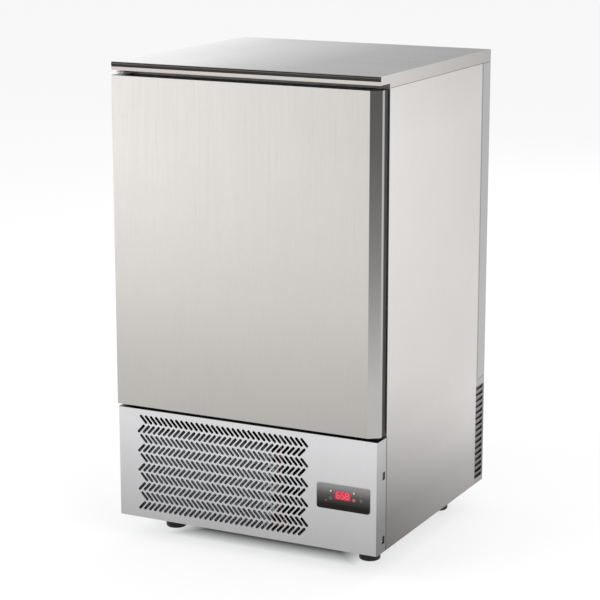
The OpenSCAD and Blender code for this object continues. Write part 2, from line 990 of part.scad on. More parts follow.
module key(i) {
    stem = 2.2;
    cap_back = bezel_face + bezel_proud + 1.2;
    switch_face = board_depth - switch_h;
    color("gray") {
        y_rod(key_r, bezel_face - key_proud, cap_back - bezel_face + key_proud,
            bezel_x + key_at[i][0], bezel_z + key_at[i][1]);
        y_rod(stem, cap_back - eps, switch_face - key_travel - fit - cap_back + eps,
            bezel_x + key_at[i][0], bezel_z + key_at[i][1]);
    }
}

module key_upper_left() {
    key(0);
}

module key_lower_left() {
    key(1);
}

module key_upper_right() {
    key(2);
}

module key_lower_right() {
    key(3);
}

module indicator_lenses() {
    color("orange")
        for (spot = lamp_at)
            y_rod(lamp_r, bezel_face - 0.2, board_depth - bezel_face + 0.2 - fit,
                bezel_x + spot[0], bezel_z + spot[1]);
}

module control_board() {
    board_w = bezel_w - 2 * bezel_rim - 6;
    board_h = bezel_h - 2 * bezel_rim - 6;
    color("darkgreen") {
        facing(board_depth, board_t)
            translate([bezel_x, bezel_z])
                square([board_w, board_h], center = true);
        // Key switches and the display module
        for (spot = key_at)
            translate([bezel_x, 0, bezel_z])
                facing(board_depth - switch_h, switch_h + board_t / 2)
                    translate(spot)
                        square([6, 6], center = true);
        translate([bezel_x, 0, bezel_z])
            facing(bezel_face + 0.3 + bezel_proud + fit, board_depth - bezel_face - bezel_proud - fit)
                translate(display_at)
                    square([display_w - 4, display_h - 4], center = true);
    }
}

module electrical_box() {
    color("lightgray")
        difference() {
            block([ebox_x0, ebox_x1], [ebox_depth0, ebox_depth1], [ebox_z0, ebox_z1]);
            block([ebox_x0 + ebox_t, ebox_x1 - ebox_t],
                [ebox_depth0 + ebox_t, ebox_depth1 - ebox_t],
                [ebox_z0 + ebox_t, ebox_z1 - ebox_t]);
            // Cable entries in the rear wall
            for (i = [0 : 2])
                y_rod(8, ebox_depth1 - ebox_t - eps, ebox_t + 2 * eps, ebox_x0 + 35 + i * 35, ebox_z0 + 30);
        }
}

module cord_bush() {
    head_t = 4;
    head_r = bush_r + 4;
    color(black)
        difference() {
            union() {
                y_rod(bush_r, service_depth - 10, 10 + sheet + eps, bush_x, bush_z);
                y_rod(head_r, service_depth + sheet + bond, head_t, bush_x, bush_z);
                y_rod(bush_r + 2, service_depth - 4, 4 - bond, bush_x, bush_z);
            }
            y_rod(cord_r, service_depth - 10 - eps, 20 + sheet + head_t, bush_x, bush_z);
        }
}

// ---------- Compressor bay ----------

module compressor() {
    dome_r = 60;
    rim_h = 8;
    x0 = comp_x;
    color(black)
        translate([x0, front_y + comp_depth, 0]) {
            // Two drawn shells with a welded rim, domed at the top
            translate([0, 0, comp_z0])
                rotate_extrude($fn = 96)
                    difference() {
                        union() {
                            square([comp_r, comp_h - dome_r]);
                            translate([0, comp_h - dome_r])
                                square([comp_r - dome_r, dome_r]);
                            translate([comp_r - dome_r, comp_h - dome_r])
                                circle(dome_r, $fn = 96);
                            translate([0, comp_h * 0.46])
                                square([comp_r + 4, rim_h]);
                        }
                        translate([-2 * comp_r, -eps])
                            square([2 * comp_r, comp_h + 2 * eps]);
                        // Room round the motor and pump
                        translate([comp_r / 2, 2 * comp_wall])
                            square([comp_r / 2 - comp_wall, comp_h - dome_r - 3 * comp_wall]);
                    }
            // Foot plate
            translate([0, 0, comp_z0 - plate_h])
                linear_extrude(plate_h)
                    difference() {
                        round_rect(2 * comp_foot_x + 44, 2 * comp_foot_y + 44, 16);
                        for (i = [-1, 1], j = [-1, 1])
                            translate([i * comp_foot_x, j * comp_foot_y])
                                circle(8, $fn = 32);
                    }
        }
    // Discharge and suction stubs, terminal cover
    color(copper) {
        x_rod(stub_r, comp_x - comp_r - stub_len, comp_r, comp_depth, stub_z);
        x_rod(stub_r, comp_x, comp_r + stub_len, comp_depth, stub_z);
    }
    color(black)
        block([comp_x - 30, comp_x + 30], [comp_depth - comp_r - 32, comp_depth - comp_r / 2],
            [comp_z0 + 30, comp_z0 + 95]);
}

module compressor_mounts() {
    color("dimgray")
        for (i = [-1, 1], j = [-1, 1])
            translate([comp_x + i * comp_foot_x, front_y + comp_depth + j * comp_foot_y, deck_z + bond])
                rotate_extrude($fn = 48)
                    union() {
                        square([15, mount_h - 2 * bond]);
                        square([8 - fit, mount_h + plate_h + 2]);
                        translate([0, mount_h + plate_h + bond])
                            square([13, 4]);
                    }
}

module coil_fins(x0, width, count, depth, pack_d, z, h, depth0, pitch_y, z0, pitch_z, rows) {
    step = (width - plate_t) / (count - 1);
    for (i = [0 : count - 1]) {
        end = i == 0 || i == count - 1;
        sideways(x0 + i * step + (end ? 0 : (plate_t - fin_t) / 2), end ? plate_t : fin_t)
            fin_outline(depth, pack_d, z, h, depth0, pitch_y, z0, pitch_z, rows, coil_tube_r + tube_gap);
    }
}

module condenser_fins() {
    color("silver")
        coil_fins(cond_x0, cond_w, cond_fins, cond_depth, cond_pack_d, cond_z0, cond_h,
            cond_tube_depth, cond_pitch_y, cond_tube_z0, cond_pitch_z, cond_rows);
}

module condenser_tubes() {
    color(copper)
        coil_tubes(cond_x0 - coil_lead, cond_x0 + cond_w + coil_lead,
            cond_tube_depth, cond_pitch_y, cond_tube_z0, cond_pitch_z, cond_rows, coil_tube_r);
}

module condenser_shroud() {
    lip = 14;
    color(black)
        difference() {
            union() {
                block([cond_x0, cond_x0 + cond_w], [shroud_depth, shroud_depth + shroud_d],
                    [cond_z0, cond_z0 + shroud_h]);
                y_rod(cond_orifice_r + shroud_t, shroud_depth, shroud_d + lip, cond_xc, cond_fan_z);
            }
            block([cond_x0 + shroud_t, cond_x0 + cond_w - shroud_t],
                [shroud_depth - eps, shroud_depth + shroud_d - shroud_t],
                [cond_z0 + shroud_t, cond_z0 + shroud_h - shroud_t]);
            y_rod(cond_orifice_r, shroud_depth - eps, shroud_d + lip + 2 * eps, cond_xc, cond_fan_z);
        }
}

// A round motor on arms, with a blind bore for the fan's shaft; drawn about the shaft
module fan_motor(r, len, arm_reach, arm_front, arms) {
    bore_len = 22;
    difference() {
        union() {
            rotate([-90, 0, 0])
                cylinder(h = len, r = r, $fn = 64);
            translate([0, len, 0])
                rotate([-90, 0, 0])
                    cylinder(h = motor_cap, r = r * 0.7, $fn = 64);
            for (i = [0 : arms - 1])
                rotate([0, 45 + i * 360 / arms, 0]) {
                    translate([r - 2, len - 9, -6])
                        cube([arm_reach - r + 2, 3, 12]);
                    translate([arm_reach - 4, arm_front, -6])
                        cube([4, len - 6 - arm_front, 12]);
                }
        }
        translate([0, -eps, 0])
            rotate([-90, 0, 0])
                cylinder(h = bore_len + eps, r = shaft_r + run, $fn = 32);
    }
}

module condenser_motor() {
    arm_front = fit - cond_motor_gap;
    color("dimgray")
        translate([cond_xc, front_y + cond_motor_depth, cond_fan_z])
            fan_motor(cond_motor_r, cond_motor_len, cond_orifice_r + 14, arm_front, 4);
}

module condenser_fan() {
    color("gray")
        translate([cond_xc, front_y + cond_motor_depth - wheel_in, cond_fan_z])
            fan_wheel(cond_hub_r, cond_orifice_r - tip_gap, 5, cond_chord, cond_blade_angle, cond_shaft);
}

module liquid_receiver() {
    dome = 20;
    color(black)
        translate([recv_x, front_y + recv_depth, deck_z + bond]) {
            rotate_extrude($fn = 64)
                difference() {
                    union() {
                        translate([0, dome])
                            square([recv_r, recv_h - 2 * dome]);
                        square([recv_r - dome, recv_h]);
                        for (z = [dome, recv_h - dome])
                            translate([recv_r - dome, z])
                                circle(dome, $fn = 64);
                    }
                    translate([-2 * recv_r, -eps])
                        square([2 * recv_r, recv_h + 2 * eps]);
                }
            // Outlet at the top, inlet low at the front
            cylinder(h = recv_h + recv_neck, r = stub_r, $fn = 32);
        }
    color(black)
        y_rod(stub_r, recv_depth - recv_r - recv_stub, recv_r, recv_x, deck_z + recv_inlet);
}

module filter_drier() {
    shell = [drier_neck + drier_cone, drier_len - drier_neck - drier_cone];
    color(copper)
        translate([drier_x0, front_y + recv_depth, drier_z])
            rotate([0, 90, 0])
                rotate_extrude($fn = 48)
                    polygon([
                        [0, 0], [pipe_r, 0], [pipe_r, drier_neck], [drier_r, shell[0]], [drier_r, shell[1]],
                        [pipe_r, drier_len - drier_neck], [pipe_r, drier_len], [0, drier_len]
                    ]);
}

module refrigerant_pipes() {
    cond_right = cond_x0 + cond_w + coil_lead + fit;
    bank_out = cond_tube_depth;
    bank_in = bank_out + cond_pitch_y;
    header_x = cond_right + header_gap;
    high_z = bay_top - pipe_r - pipe_head;
    recv_in = deck_z + recv_inlet;
    recv_out = deck_z + bond + recv_h + recv_neck + fit;
    drier_end = drier_x0 + drier_len;
    evap_end = evap_half + coil_lead + fit;
    comp_left = comp_x - comp_r - stub_len - fit;
    comp_right = comp_x + comp_r + stub_len + fit;
    color(copper) {
        // Discharge: compressor to condenser
        pipe_run([
            [comp_left, comp_depth, stub_z],
            [comp_left - discharge_gap, comp_depth, stub_z],
            [comp_left - discharge_gap, comp_depth, high_z],
            [comp_left - discharge_gap, discharge_run, high_z],
            [header_x, discharge_run, high_z],
            [header_x, bank_in, high_z],
            [header_x, bank_in, cond_tube_z0],
            [cond_right, bank_in, cond_tube_z0]
        ], pipe_r);
        // Liquid: condenser to receiver
        pipe_run([
            [cond_right, bank_out, cond_tube_z0],
            [header_x + pipe_step, bank_out, cond_tube_z0],
            [header_x + pipe_step, bank_out, recv_in],
            [header_x + pipe_step, liquid_run, recv_in],
            [recv_x, liquid_run, recv_in],
            [recv_x, recv_depth - recv_r - recv_stub - fit, recv_in]
        ], pipe_r);
        // Receiver to drier
        pipe_run([
            [recv_x, recv_depth, recv_out],
            [recv_x, recv_depth, drier_z],
            [drier_x0 - fit, recv_depth, drier_z]
        ], pipe_r);
        // Drier to evaporator
        pipe_run([
            [drier_end + fit, recv_depth, drier_z],
            [drier_end + pipe_step, recv_depth, drier_z],
            [drier_end + pipe_step, liquid_y, drier_z],
            [riser_x, liquid_y, drier_z],
            [riser_x, liquid_y, evap_z0],
            [evap_end, liquid_y, evap_z0]
        ], pipe_r);
        // Suction: evaporator to compressor
        pipe_run([
            [evap_end, suction_y, evap_z0],
            [riser_x, suction_y, evap_z0],
            [riser_x, suction_y, suction_z],
            [suction_x, suction_y, suction_z],
            [suction_x, comp_depth, suction_z],
            [suction_x, comp_depth, stub_z],
            [comp_right, comp_depth, stub_z]
        ], pipe_r);
    }
}

module drain_pipe() {
    wall = 1.5;
    pipe_end = deck_z + tray_h + 12;
    color("white")
        difference() {
            union() {
                translate([drain_x, front_y + drain_depth, pipe_end])
                    cylinder(h = ch_z0 + bond + 1 - pipe_end, r = drain_r, $fn = 48);
                // Flange on the chamber floor
                translate([drain_x, front_y + drain_depth, ch_z0 + bond])
                    cylinder(h = 1.5, r = drain_r + 8, $fn = 48);
            }
            translate([drain_x, front_y + drain_depth, pipe_end - eps])
                cylinder(h = ch_z0 - pipe_end + 10, r = drain_r - wall, $fn = 48);
        }
}

module condensate_tray() {
    x = [drain_x - tray_half_x, drain_x + tray_half_x];
    d = [drain_depth - tray_half_d, drain_depth + tray_half_d];
    color(steel)
        difference() {
            block(x, d, [deck_z + bond, deck_z + tray_h]);
            block([x[0] + tray_t, x[1] - tray_t], [d[0] + tray_t, d[1] - tray_t],
                [deck_z + tray_t, deck_z + tray_h + eps]);
        }
}

// ---------- Chamber fittings ----------

function upright_depth(i) = i == 0 ? runner_depth + upright_in : runner_depth + runner_len - upright_in;

// The right-hand rack; the left one mirrors it
module rack() {
    bar_h = 14;
    half = upright_w / 2;
    color(steel)
        difference() {
            union() {
                for (i = [0, 1])
                    difference() {
                        block([rack_face, rack_face + upright_d],
                            [upright_depth(i) - half, upright_depth(i) + half],
                            [upright_z0, upright_z1]);
                        block([rack_face + runner_t, rack_face + upright_d + eps],
                            [upright_depth(i) - half + runner_t, upright_depth(i) + half - runner_t],
                            [upright_z0 - eps, upright_z1 + eps]);
                    }
                for (z = [upright_z0 + 6, upright_z1 - 6 - bar_h])
                    block([rack_face, rack_face + runner_t],
                        [upright_depth(0), upright_depth(1)], [z, z + bar_h]);
            }
            for (i = [0, 1], z = stud_z)
                x_rod(stud_hole, rack_face - eps, runner_t + 2 * eps, upright_depth(i), z);
        }
}

module rack_right() {
    rack();
}

module rack_left() {
    mirror([1, 0, 0])
        rack();
}

// Angle runners, one per tray level, with a rear stop
module runners() {
    edge = rack_face - fit - runner_ledge;
    stop = runner_depth + runner_len;
    color(steel)
        for (i = [0 : levels - 1])
            translate([0, 0, level_z0 + i * level_pitch])
                difference() {
                    block([edge, rack_face - bond], [runner_depth, stop], [0, runner_rise]);
                    block([edge - eps, rack_face - bond - runner_t],
                        [runner_depth - eps, stop - runner_t], [runner_t, runner_rise + eps]);
                }
}

module runners_right() {
    runners();
}

module runners_left() {
    mirror([1, 0, 0])
        runners();
}

module fan_plenum() {
    window_rows = 3;
    window_margin = 30;
    side_h = plenum_z1 - plenum_z0;
    window_h = (side_h - window_margin * (window_rows + 1)) / window_rows;
    foot = 20;
    span = [plenum_z0, plenum_z1];
    color(steel)
        difference() {
            union() {
                block([-plenum_half, plenum_half], [plenum_depth, plenum_depth + plenum_t], span);
                for (m = [0, 1])
                    mirror([m, 0, 0]) {
                        block([plenum_half - plenum_t, plenum_half], [plenum_depth, plenum_back], span);
                        block([plenum_half - plenum_t, plenum_half + foot],
                            [plenum_back - plenum_t, plenum_back], span);
                    }
                for (z = fan_z)
                    y_rod(orifice_r + plenum_t, plenum_depth, collar_len, 0, z);
            }
            for (z = fan_z)
                y_rod(orifice_r, plenum_depth - eps, collar_len + 2 * eps, 0, z);
            for (i = [0 : window_rows - 1])
                block([-half_w, half_w], [plenum_depth + 30, plenum_back - 30],
                    [plenum_z0 + window_margin + i * (window_h + window_margin),
                    plenum_z0 + (i + 1) * (window_h + window_margin)]);
        }
}

module fan_guards() {
    ring_step = (orifice_r - 12) / guard_rings;
    guard_depth = plenum_depth - guard_gap - guard_bar;
    color("lightgray")
        for (z = fan_z)
            translate([0, 0, z]) {
                facing(guard_depth, guard_bar) {
                    for (i = [1 : guard_rings])
                        difference() {
                            circle(i * ring_step + guard_bar / 2, $fn = 64);
                            circle(i * ring_step - guard_bar / 2, $fn = 64);
                        }
                    for (a = [0 : 3])
                        rotate(a * 45)
                            square([2 * orifice_r + 12, guard_bar], center = true);
                }
                // Feet on the plenum
                for (a = [0 : 3])
                    rotate([0, a * 90 + 45, 0])
                        translate([orifice_r, 0, -guard_bar])
                            block([0, 6], [guard_depth, plenum_depth - bond], [0, 2 * guard_bar]);
            }
}

module evaporator_motors() {
    arm_front = plenum_depth + plenum_t + bond - motor_depth;
    color("dimgray")
        for (z = fan_z)
            translate([0, front_y + motor_depth, z])
                fan_motor(motor_r, motor_len, orifice_r + 12, arm_front, 4);
}

module evaporator_fan(i) {
    color("gray")
        translate([0, front_y + motor_depth - wheel_in, fan_z[i]])
            fan_wheel(evap_hub_r, orifice_r - tip_gap, 7, evap_chord, evap_blade_angle, evap_shaft);
}

module evaporator_fan_lower() {
    evaporator_fan(0);
}

module evaporator_fan_upper() {
    evaporator_fan(1);
}

module evaporator_fins() {
    h = (evap_rows - 1) * evap_pitch_z + 2 * evap_margin;
    color("silver")
        coil_fins(-evap_half, 2 * evap_half, evap_fins, evap_depth, evap_pack_d, evap_z0 - evap_margin, h,
            liquid_y, evap_pitch_y, evap_z0, evap_pitch_z, evap_rows);
}

module evaporator_tubes() {
    color(copper)
        coil_tubes(-evap_half - coil_lead, evap_half + coil_lead,
            liquid_y, evap_pitch_y, evap_z0, evap_pitch_z, evap_rows, coil_tube_r);
}

// ---------- Door ----------

// Plan of the door skin: square on the hinge side, bevelled on the handle side
module skin_plan(inset) {
    slope = bevel_d / bevel_w;
    cut = inset * (sqrt(1 + slope * slope) - slope);
    polygon([
        [-half_w + inset, inset],
        [half_w - bevel_w - inset * (sqrt(1 + slope * slope) - 1) / slope, inset],
        [half_w - inset, bevel_d + cut],
        [half_w - inset, door_side],
        [-half_w + inset, door_side]
    ]);
}

module bush_pockets(r) {
    translate([pivot_x, front_y + pivot_depth, door_z1 - bush_len - 2])
        cylinder(h = bush_len + 4, r = r, $fn = 48);
    translate([pivot_x, front_y + pivot_depth, door_z0 - 2])
        cylinder(h = bush_len + 4, r = r, $fn = 48);
}

module door_skin() {
    lip = 9;
    color(steel)
        difference() {
            translate([0, front_y, door_z0])
                linear_extrude(door_h)
                    skin_plan(0);
            translate([0, front_y, door_z0 + skin_t])
                linear_extrude(door_h - 2 * skin_t)
                    intersection() {
                        skin_plan(skin_t);
                        translate([-half_w, 0])
                            square([body_w, door_side - skin_t]);
                    }
            block([-half_w + lip, half_w - lip], [door_side - 2 * skin_t, door_side + eps],
                [door_z0 + lip, door_z1 - lip]);
            bush_pockets(pocket_r);
        }
}

module door_foam() {
    rim = profile_w + bond;
    color("khaki")
        difference() {
            union() {
                translate([0, front_y, door_z0 + skin_t + bond])
                    linear_extrude(door_h - 2 * skin_t - 2 * bond)
                        intersection() {
                            skin_plan(skin_t + bond);
                            translate([-half_w, 0])
                                square([body_w, door_side - skin_t - bond]);
                        }
                block([-half_w + rim, half_w - rim], [door_side - skin_t - eps, door_back - skin_t - bond],
                    [door_z0 + rim, door_z1 - rim]);
                block([-ch_half + plug_in + skin_t + bond, ch_half - plug_in - skin_t - bond],
                    [door_back - skin_t - eps, door_back + plug_depth - skin_t - bond],
                    [ch_z0 + plug_in + skin_t + bond, ch_z1 - plug_in - skin_t - bond]);
            }
            bush_pockets(pocket_r);
        }
}

module door_profile() {
    groove_c = gasket_in;
    color(black)
        difference() {
            block([-half_w, half_w], [door_side + bond, door_back], [door_z0, door_z1]);
            block([-half_w + profile_w, half_w - profile_w], [door_side - eps, door_back + eps],
                [door_z0 + profile_w, door_z1 - profile_w]);
            // Gasket groove
            difference() {
                block([-half_w + groove_c - groove_w / 2, half_w - groove_c + groove_w / 2],
                    [door_back - groove_d, door_back + eps],
                    [door_z0 + groove_c - groove_w / 2, door_z1 - groove_c + groove_w / 2]);
                block([-half_w + groove_c + groove_w / 2, half_w - groove_c - groove_w / 2],
                    [door_back - groove_d - eps, door_back + 2 * eps],
                    [door_z0 + groove_c + groove_w / 2, door_z1 - groove_c - groove_w / 2]);
            }
            bush_pockets(pocket_r);
        }
}

module door_liner() {
    rim = profile_w + fit;
    color(steel)
        difference() {
            union() {
                block([-half_w + rim, half_w - rim], [door_back - skin_t, door_back],
                    [door_z0 + rim, door_z1 - rim]);
                block([-ch_half + plug_in, ch_half - plug_in], [door_back - skin_t, door_back + plug_depth],
                    [ch_z0 + plug_in, ch_z1 - plug_in]);
            }
            block([-ch_half + plug_in + skin_t, ch_half - plug_in - skin_t],
                [door_back - skin_t - eps, door_back + plug_depth - skin_t],
                [ch_z0 + plug_in + skin_t, ch_z1 - plug_in - skin_t]);
        }
}

// A square ring that follows the door's edge
module door_ring(edge_out, edge_in, d0, d1) {
    difference() {
        block([-half_w + edge_out, half_w - edge_out], [d0, d1], [door_z0 + edge_out, door_z1 - edge_out]);
        block([-half_w + edge_in, half_w - edge_in], [d0 - eps, d1 + eps],
            [door_z0 + edge_in, door_z1 - edge_in]);
    }
}

module door_gasket() {
    wall = 1.6;
    magnet_t = 4;
    edge = gasket_in - gasket_w / 2;
    barb = 0.4;
    color("dimgray")
        difference() {
            union() {
                door_ring(edge, edge + gasket_w, door_back + bond, door_back + bond + gasket_d - bond);
                door_ring(gasket_in - groove_w / 2 + barb, gasket_in + groove_w / 2 - barb,
                    door_back - groove_d + barb, door_back + eps);
            }
            // Air bellows between the base and the magnet strip
            door_ring(edge + wall, edge + gasket_w - wall, door_back + bond + wall, door_t - fit - magnet_t);
        }
}

module door_bushes() {
    flange_r = pin_r + run + flange_wall;
    outer_r = pin_r + run + bush_wall;
    low_seat = low_bracket_z + bracket_t + fit;
    color("whitesmoke") {
        difference() {
            union() {
                translate([pivot_x, front_y + pivot_depth, door_z0 - eps])
                    cylinder(h = bush_len, r = outer_r, $fn = 48);
                translate([pivot_x, front_y + pivot_depth, low_seat])
                    cylinder(h = door_z0 - bond - low_seat, r = flange_r, $fn = 48);
            }
            translate([pivot_x, front_y + pivot_depth, low_seat - eps])
                cylinder(h = bush_len + 20, r = pin_r + run, $fn = 48);
        }
        difference() {
            union() {
                translate([pivot_x, front_y + pivot_depth, door_z1 - bush_len])
                    cylinder(h = bush_len + eps, r = outer_r, $fn = 48);
                translate([pivot_x, front_y + pivot_depth, door_z1 + bond])
                    cylinder(h = 1.8, r = flange_r, $fn = 48);
            }
            translate([pivot_x, front_y + pivot_depth, door_z1 - bush_len - eps])
                cylinder(h = bush_len + 20, r = pin_r + run, $fn = 48);
        }
    }
}

// Plate round the pin with a leg back to the cabinet front
module hinge_plate(z, leg_z0, leg_z1) {
    width = [pivot_x - bracket_r, pivot_x + bracket_r];
    difference() {
        union() {
            translate([pivot_x, front_y + pivot_depth, z])
                cylinder(h = bracket_t, r = bracket_r, $fn = 64);
            block(width, [pivot_depth, door_t - bond], [z, z + bracket_t]);
            block(width, [door_t - bond - bracket_leg_t, door_t - bond], [leg_z0, leg_z1]);
        }
        // Screw holes in the leg
        for (s = [-1, 1])
            y_rod(screw_hole, door_t - 2 * bracket_leg_t, 3 * bracket_leg_t,
                pivot_x + s * 6, (leg_z0 + leg_z1) / 2 + s * 3);
    }
}

module hinge_brackets() {
    color(dull_steel) {
        hinge_plate(low_bracket_z, low_bracket_z - bracket_leg_h + bracket_t, low_bracket_z + bracket_t);
        translate([pivot_x, front_y + pivot_depth, low_bracket_z + bracket_t / 2])
            cylinder(h = bracket_t / 2 + pin_len, r = pin_r, $fn = 48);
        hinge_plate(top_bracket_z, top_bracket_z, frame_top - 2);
        translate([pivot_x, front_y + pivot_depth, top_bracket_z - pin_len])
            cylinder(h = pin_len + bracket_t / 2, r = pin_r, $fn = 48);
    }
}

// ---------- Fasteners ----------

// A dome-head screw that goes in towards the front
module screw_from_back(x, depth, z) {
    y_rod(screw_r, depth - screw_len, screw_len + screw_head_h / 2, x, z);
    y_rod(screw_head_r, depth, screw_head_h, x, z);
}

module panel_screws() {
    color("silver")
        for (s = [-1, 1], z = service_screw_z)
            screw_from_back(s * (service_half - 7), service_depth + sheet + bond, z);
}

// ---------- Build ----------

worktop();
worktop_core();
side_panel_left();
side_panel_right();
back_panel();
rear_service_panel();
front_frame();
thermal_break();
inner_liner();
insulation_foam();
cabinet_underpan();
base_frame();
foot_front_left();
foot_front_right();
foot_rear_left();
foot_rear_right();
foot_sleeves();
lower_front_panel();
control_bezel();
display_window();
key_upper_left();
key_lower_left();
key_upper_right();
key_lower_right();
indicator_lenses();
control_board();
electrical_box();
cord_bush();
compressor();
compressor_mounts();
condenser_fins();
condenser_tubes();
condenser_shroud();
condenser_motor();
condenser_fan();
liquid_receiver();
filter_drier();
refrigerant_pipes();
drain_pipe();
condensate_tray();
rack_left();
rack_right();
runners_left();
runners_right();
fan_plenum();
fan_guards();
evaporator_motors();
evaporator_fan_lower();
evaporator_fan_upper();
evaporator_fins();
evaporator_tubes();
door_skin();
door_foam();
door_liner();
door_profile();
door_gasket();
door_bushes();
hinge_brackets();
panel_screws();
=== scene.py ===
import math

import bmesh
import bpy
from mathutils import Matrix, Vector


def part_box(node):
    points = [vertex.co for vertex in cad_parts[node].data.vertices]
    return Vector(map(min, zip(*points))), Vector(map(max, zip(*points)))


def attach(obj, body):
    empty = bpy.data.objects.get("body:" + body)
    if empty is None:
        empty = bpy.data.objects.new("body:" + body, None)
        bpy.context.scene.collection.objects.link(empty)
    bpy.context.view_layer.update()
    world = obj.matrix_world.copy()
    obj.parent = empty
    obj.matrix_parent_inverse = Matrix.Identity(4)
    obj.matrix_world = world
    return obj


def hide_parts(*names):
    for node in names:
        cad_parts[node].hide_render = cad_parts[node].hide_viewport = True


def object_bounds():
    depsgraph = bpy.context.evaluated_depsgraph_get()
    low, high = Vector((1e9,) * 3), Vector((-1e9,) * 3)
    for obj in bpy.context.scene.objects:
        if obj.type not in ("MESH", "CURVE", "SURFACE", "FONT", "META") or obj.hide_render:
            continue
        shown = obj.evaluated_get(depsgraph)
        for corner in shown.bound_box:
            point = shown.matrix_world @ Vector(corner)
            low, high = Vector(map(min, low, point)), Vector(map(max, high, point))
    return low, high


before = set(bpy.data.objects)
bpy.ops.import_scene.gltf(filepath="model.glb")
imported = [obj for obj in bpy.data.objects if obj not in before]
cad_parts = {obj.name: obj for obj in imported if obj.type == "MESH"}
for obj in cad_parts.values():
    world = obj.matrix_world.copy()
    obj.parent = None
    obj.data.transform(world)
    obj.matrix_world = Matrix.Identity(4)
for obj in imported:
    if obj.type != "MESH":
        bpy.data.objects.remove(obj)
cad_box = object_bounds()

scene = bpy.context.scene
scene.view_settings.view_transform = "Standard"


# ---------- Camera ----------
# The cabinet is seen from in front, a little above its top and to the right,
# through a long lens, so that its front, its right side and its top all show.

door_face = cad_box[0].y
view_turn = math.radians(26.67)
view_drop = math.radians(12.94)
view_away = 5.149
aim_right = 0.1443
aim_height = 0.6886
frame_pixels = 600
focal_pixels = 2044.15
sensor_width = 36.0

look = Vector((-math.sin(view_turn) * math.cos(view_drop),
               math.cos(view_turn) * math.cos(view_drop),
               -math.sin(view_drop)))
aim = Vector((aim_right * math.cos(view_turn),
              door_face + aim_right * math.sin(view_turn),
              aim_height))
camera = bpy.data.objects.new("camera", bpy.data.cameras.new("camera"))
scene.collection.objects.link(camera)
camera.location = aim - look * view_away
camera.rotation_euler = look.to_track_quat("-Z", "Y").to_euler()
camera.data.sensor_width = sensor_width
camera.data.lens = focal_pixels / frame_pixels * sensor_width
camera.data.clip_end = 200
scene.camera = camera


# ---------- Studio ----------
# A wide pale floor under an even white surround, with two broad soft lamps in front and
# one behind. The eye and polished steel see it all as white, but for the floor under
# the middle of the cabinet, where the glow is turned down as a painted shadow.


def seen_directly(tree):
    """1 for rays from the eye, from a reflection or through glass, 0 for the rest."""
    rays = tree.nodes.new("ShaderNodeLightPath")
    total = rays.outputs["Is Camera Ray"]
    for kind in ("Is Glossy Ray", "Is Transmission Ray"):
        both = tree.nodes.new("ShaderNodeMath")
        both.operation = "MAXIMUM"
        tree.links.new(total, both.inputs[0])
        tree.links.new(rays.outputs[kind], both.inputs[1])
        total = both.outputs[0]
    return total


ambient_level = 0.85
surround = bpy.data.worlds.new("surround")
surround.use_nodes = True
scene.world = surround
sky = surround.node_tree
ambient = sky.nodes["Background"]
ambient.inputs["Color"].default_value = (1, 1, 1, 1)
ambient.inputs["Strength"].default_value = ambient_level
white = sky.nodes.new("ShaderNodeBackground")
white.inputs["Color"].default_value = (1, 1, 1, 1)
white.inputs["Strength"].default_value = 1.0
choose = sky.nodes.new("ShaderNodeMixShader")
sky.links.new(seen_directly(sky), choose.inputs[0])
sky.links.new(ambient.outputs[0], choose.inputs[1])
sky.links.new(white.outputs[0], choose.inputs[2])
sky.links.new(choose.outputs[0], sky.nodes["World Output"].inputs["Surface"])

floor_half = 40.0
floor_shape = bmesh.new()
bmesh.ops.create_grid(floor_shape, x_segments=4, y_segments=4, size=floor_half)
floor_mesh = bpy.data.meshes.new("floor")
floor_shape.to_mesh(floor_mesh)
floor_shape.free()
floor = bpy.data.objects.new("floor", floor_mesh)
scene.collection.objects.link(floor)


def place_on_piece(tree, scale=(1, 1, 1)):
    """Coordinates in metres, fixed to the piece, stretched by scale."""
    coords = tree.nodes.new("ShaderNodeTexCoord")
    stretch = tree.nodes.new("ShaderNodeMapping")
    stretch.inputs["Scale"].default_value = scale
    tree.links.new(coords.outputs["Object"], stretch.inputs["Vector"])
    return stretch.outputs["Vector"]


def spread(tree, value, low, high, to_low, to_high):
    """Turns a value between low and high into one between to_low and to_high."""
    change = tree.nodes.new("ShaderNodeMapRange")
    tree.links.new(value, change.inputs["Value"])
    for end, number in (("From Min", low), ("From Max", high), ("To Min", to_low), ("To Max", to_high)):
        change.inputs[end].default_value = number
    return change.outputs["Result"]


def size_of(tree, number):
    """A number without its sign."""
    positive = tree.nodes.new("ShaderNodeMath")
    positive.operation = "ABSOLUTE"
    tree.links.new(number, positive.inputs[0])
    return positive.outputs[0]


floor_grey = 0.32
# Under the middle of the cabinet the floor's glow is turned down, and it comes back towards the edges: a
# painted shadow.
painted_shadow_half = 0.20
light_half = 0.28
painted_shadow_glow = 0.02
light_glow = 0.66
floor_paint = bpy.data.materials.new("floor_paint")
floor_paint.use_nodes = True
paint = floor_paint.node_tree
matt = paint.nodes.new("ShaderNodeBsdfDiffuse")
matt.inputs["Color"].default_value = (floor_grey, floor_grey, floor_grey, 1)
glow = paint.nodes.new("ShaderNodeEmission")
glow.inputs["Color"].default_value = (1, 1, 1, 1)
spot = paint.nodes.new("ShaderNodeSeparateXYZ")
paint.links.new(place_on_piece(paint), spot.inputs[0])
open_floor = paint.nodes.new("ShaderNodeMath")
open_floor.operation = "MAXIMUM"
for side, socket in zip("XY", open_floor.inputs):
    away = size_of(paint, spot.outputs[side])
    paint.links.new(spread(paint, away, painted_shadow_half, light_half, painted_shadow_glow, light_glow), socket)
glow_level = paint.nodes.new("ShaderNodeMath")
glow_level.operation = "MULTIPLY"
paint.links.new(seen_directly(paint), glow_level.inputs[0])
paint.links.new(open_floor.outputs[0], glow_level.inputs[1])
both_shaders = paint.nodes.new("ShaderNodeAddShader")
paint.links.new(glow_level.outputs[0], glow.inputs["Strength"])
paint.links.new(matt.outputs[0], both_shaders.inputs[0])
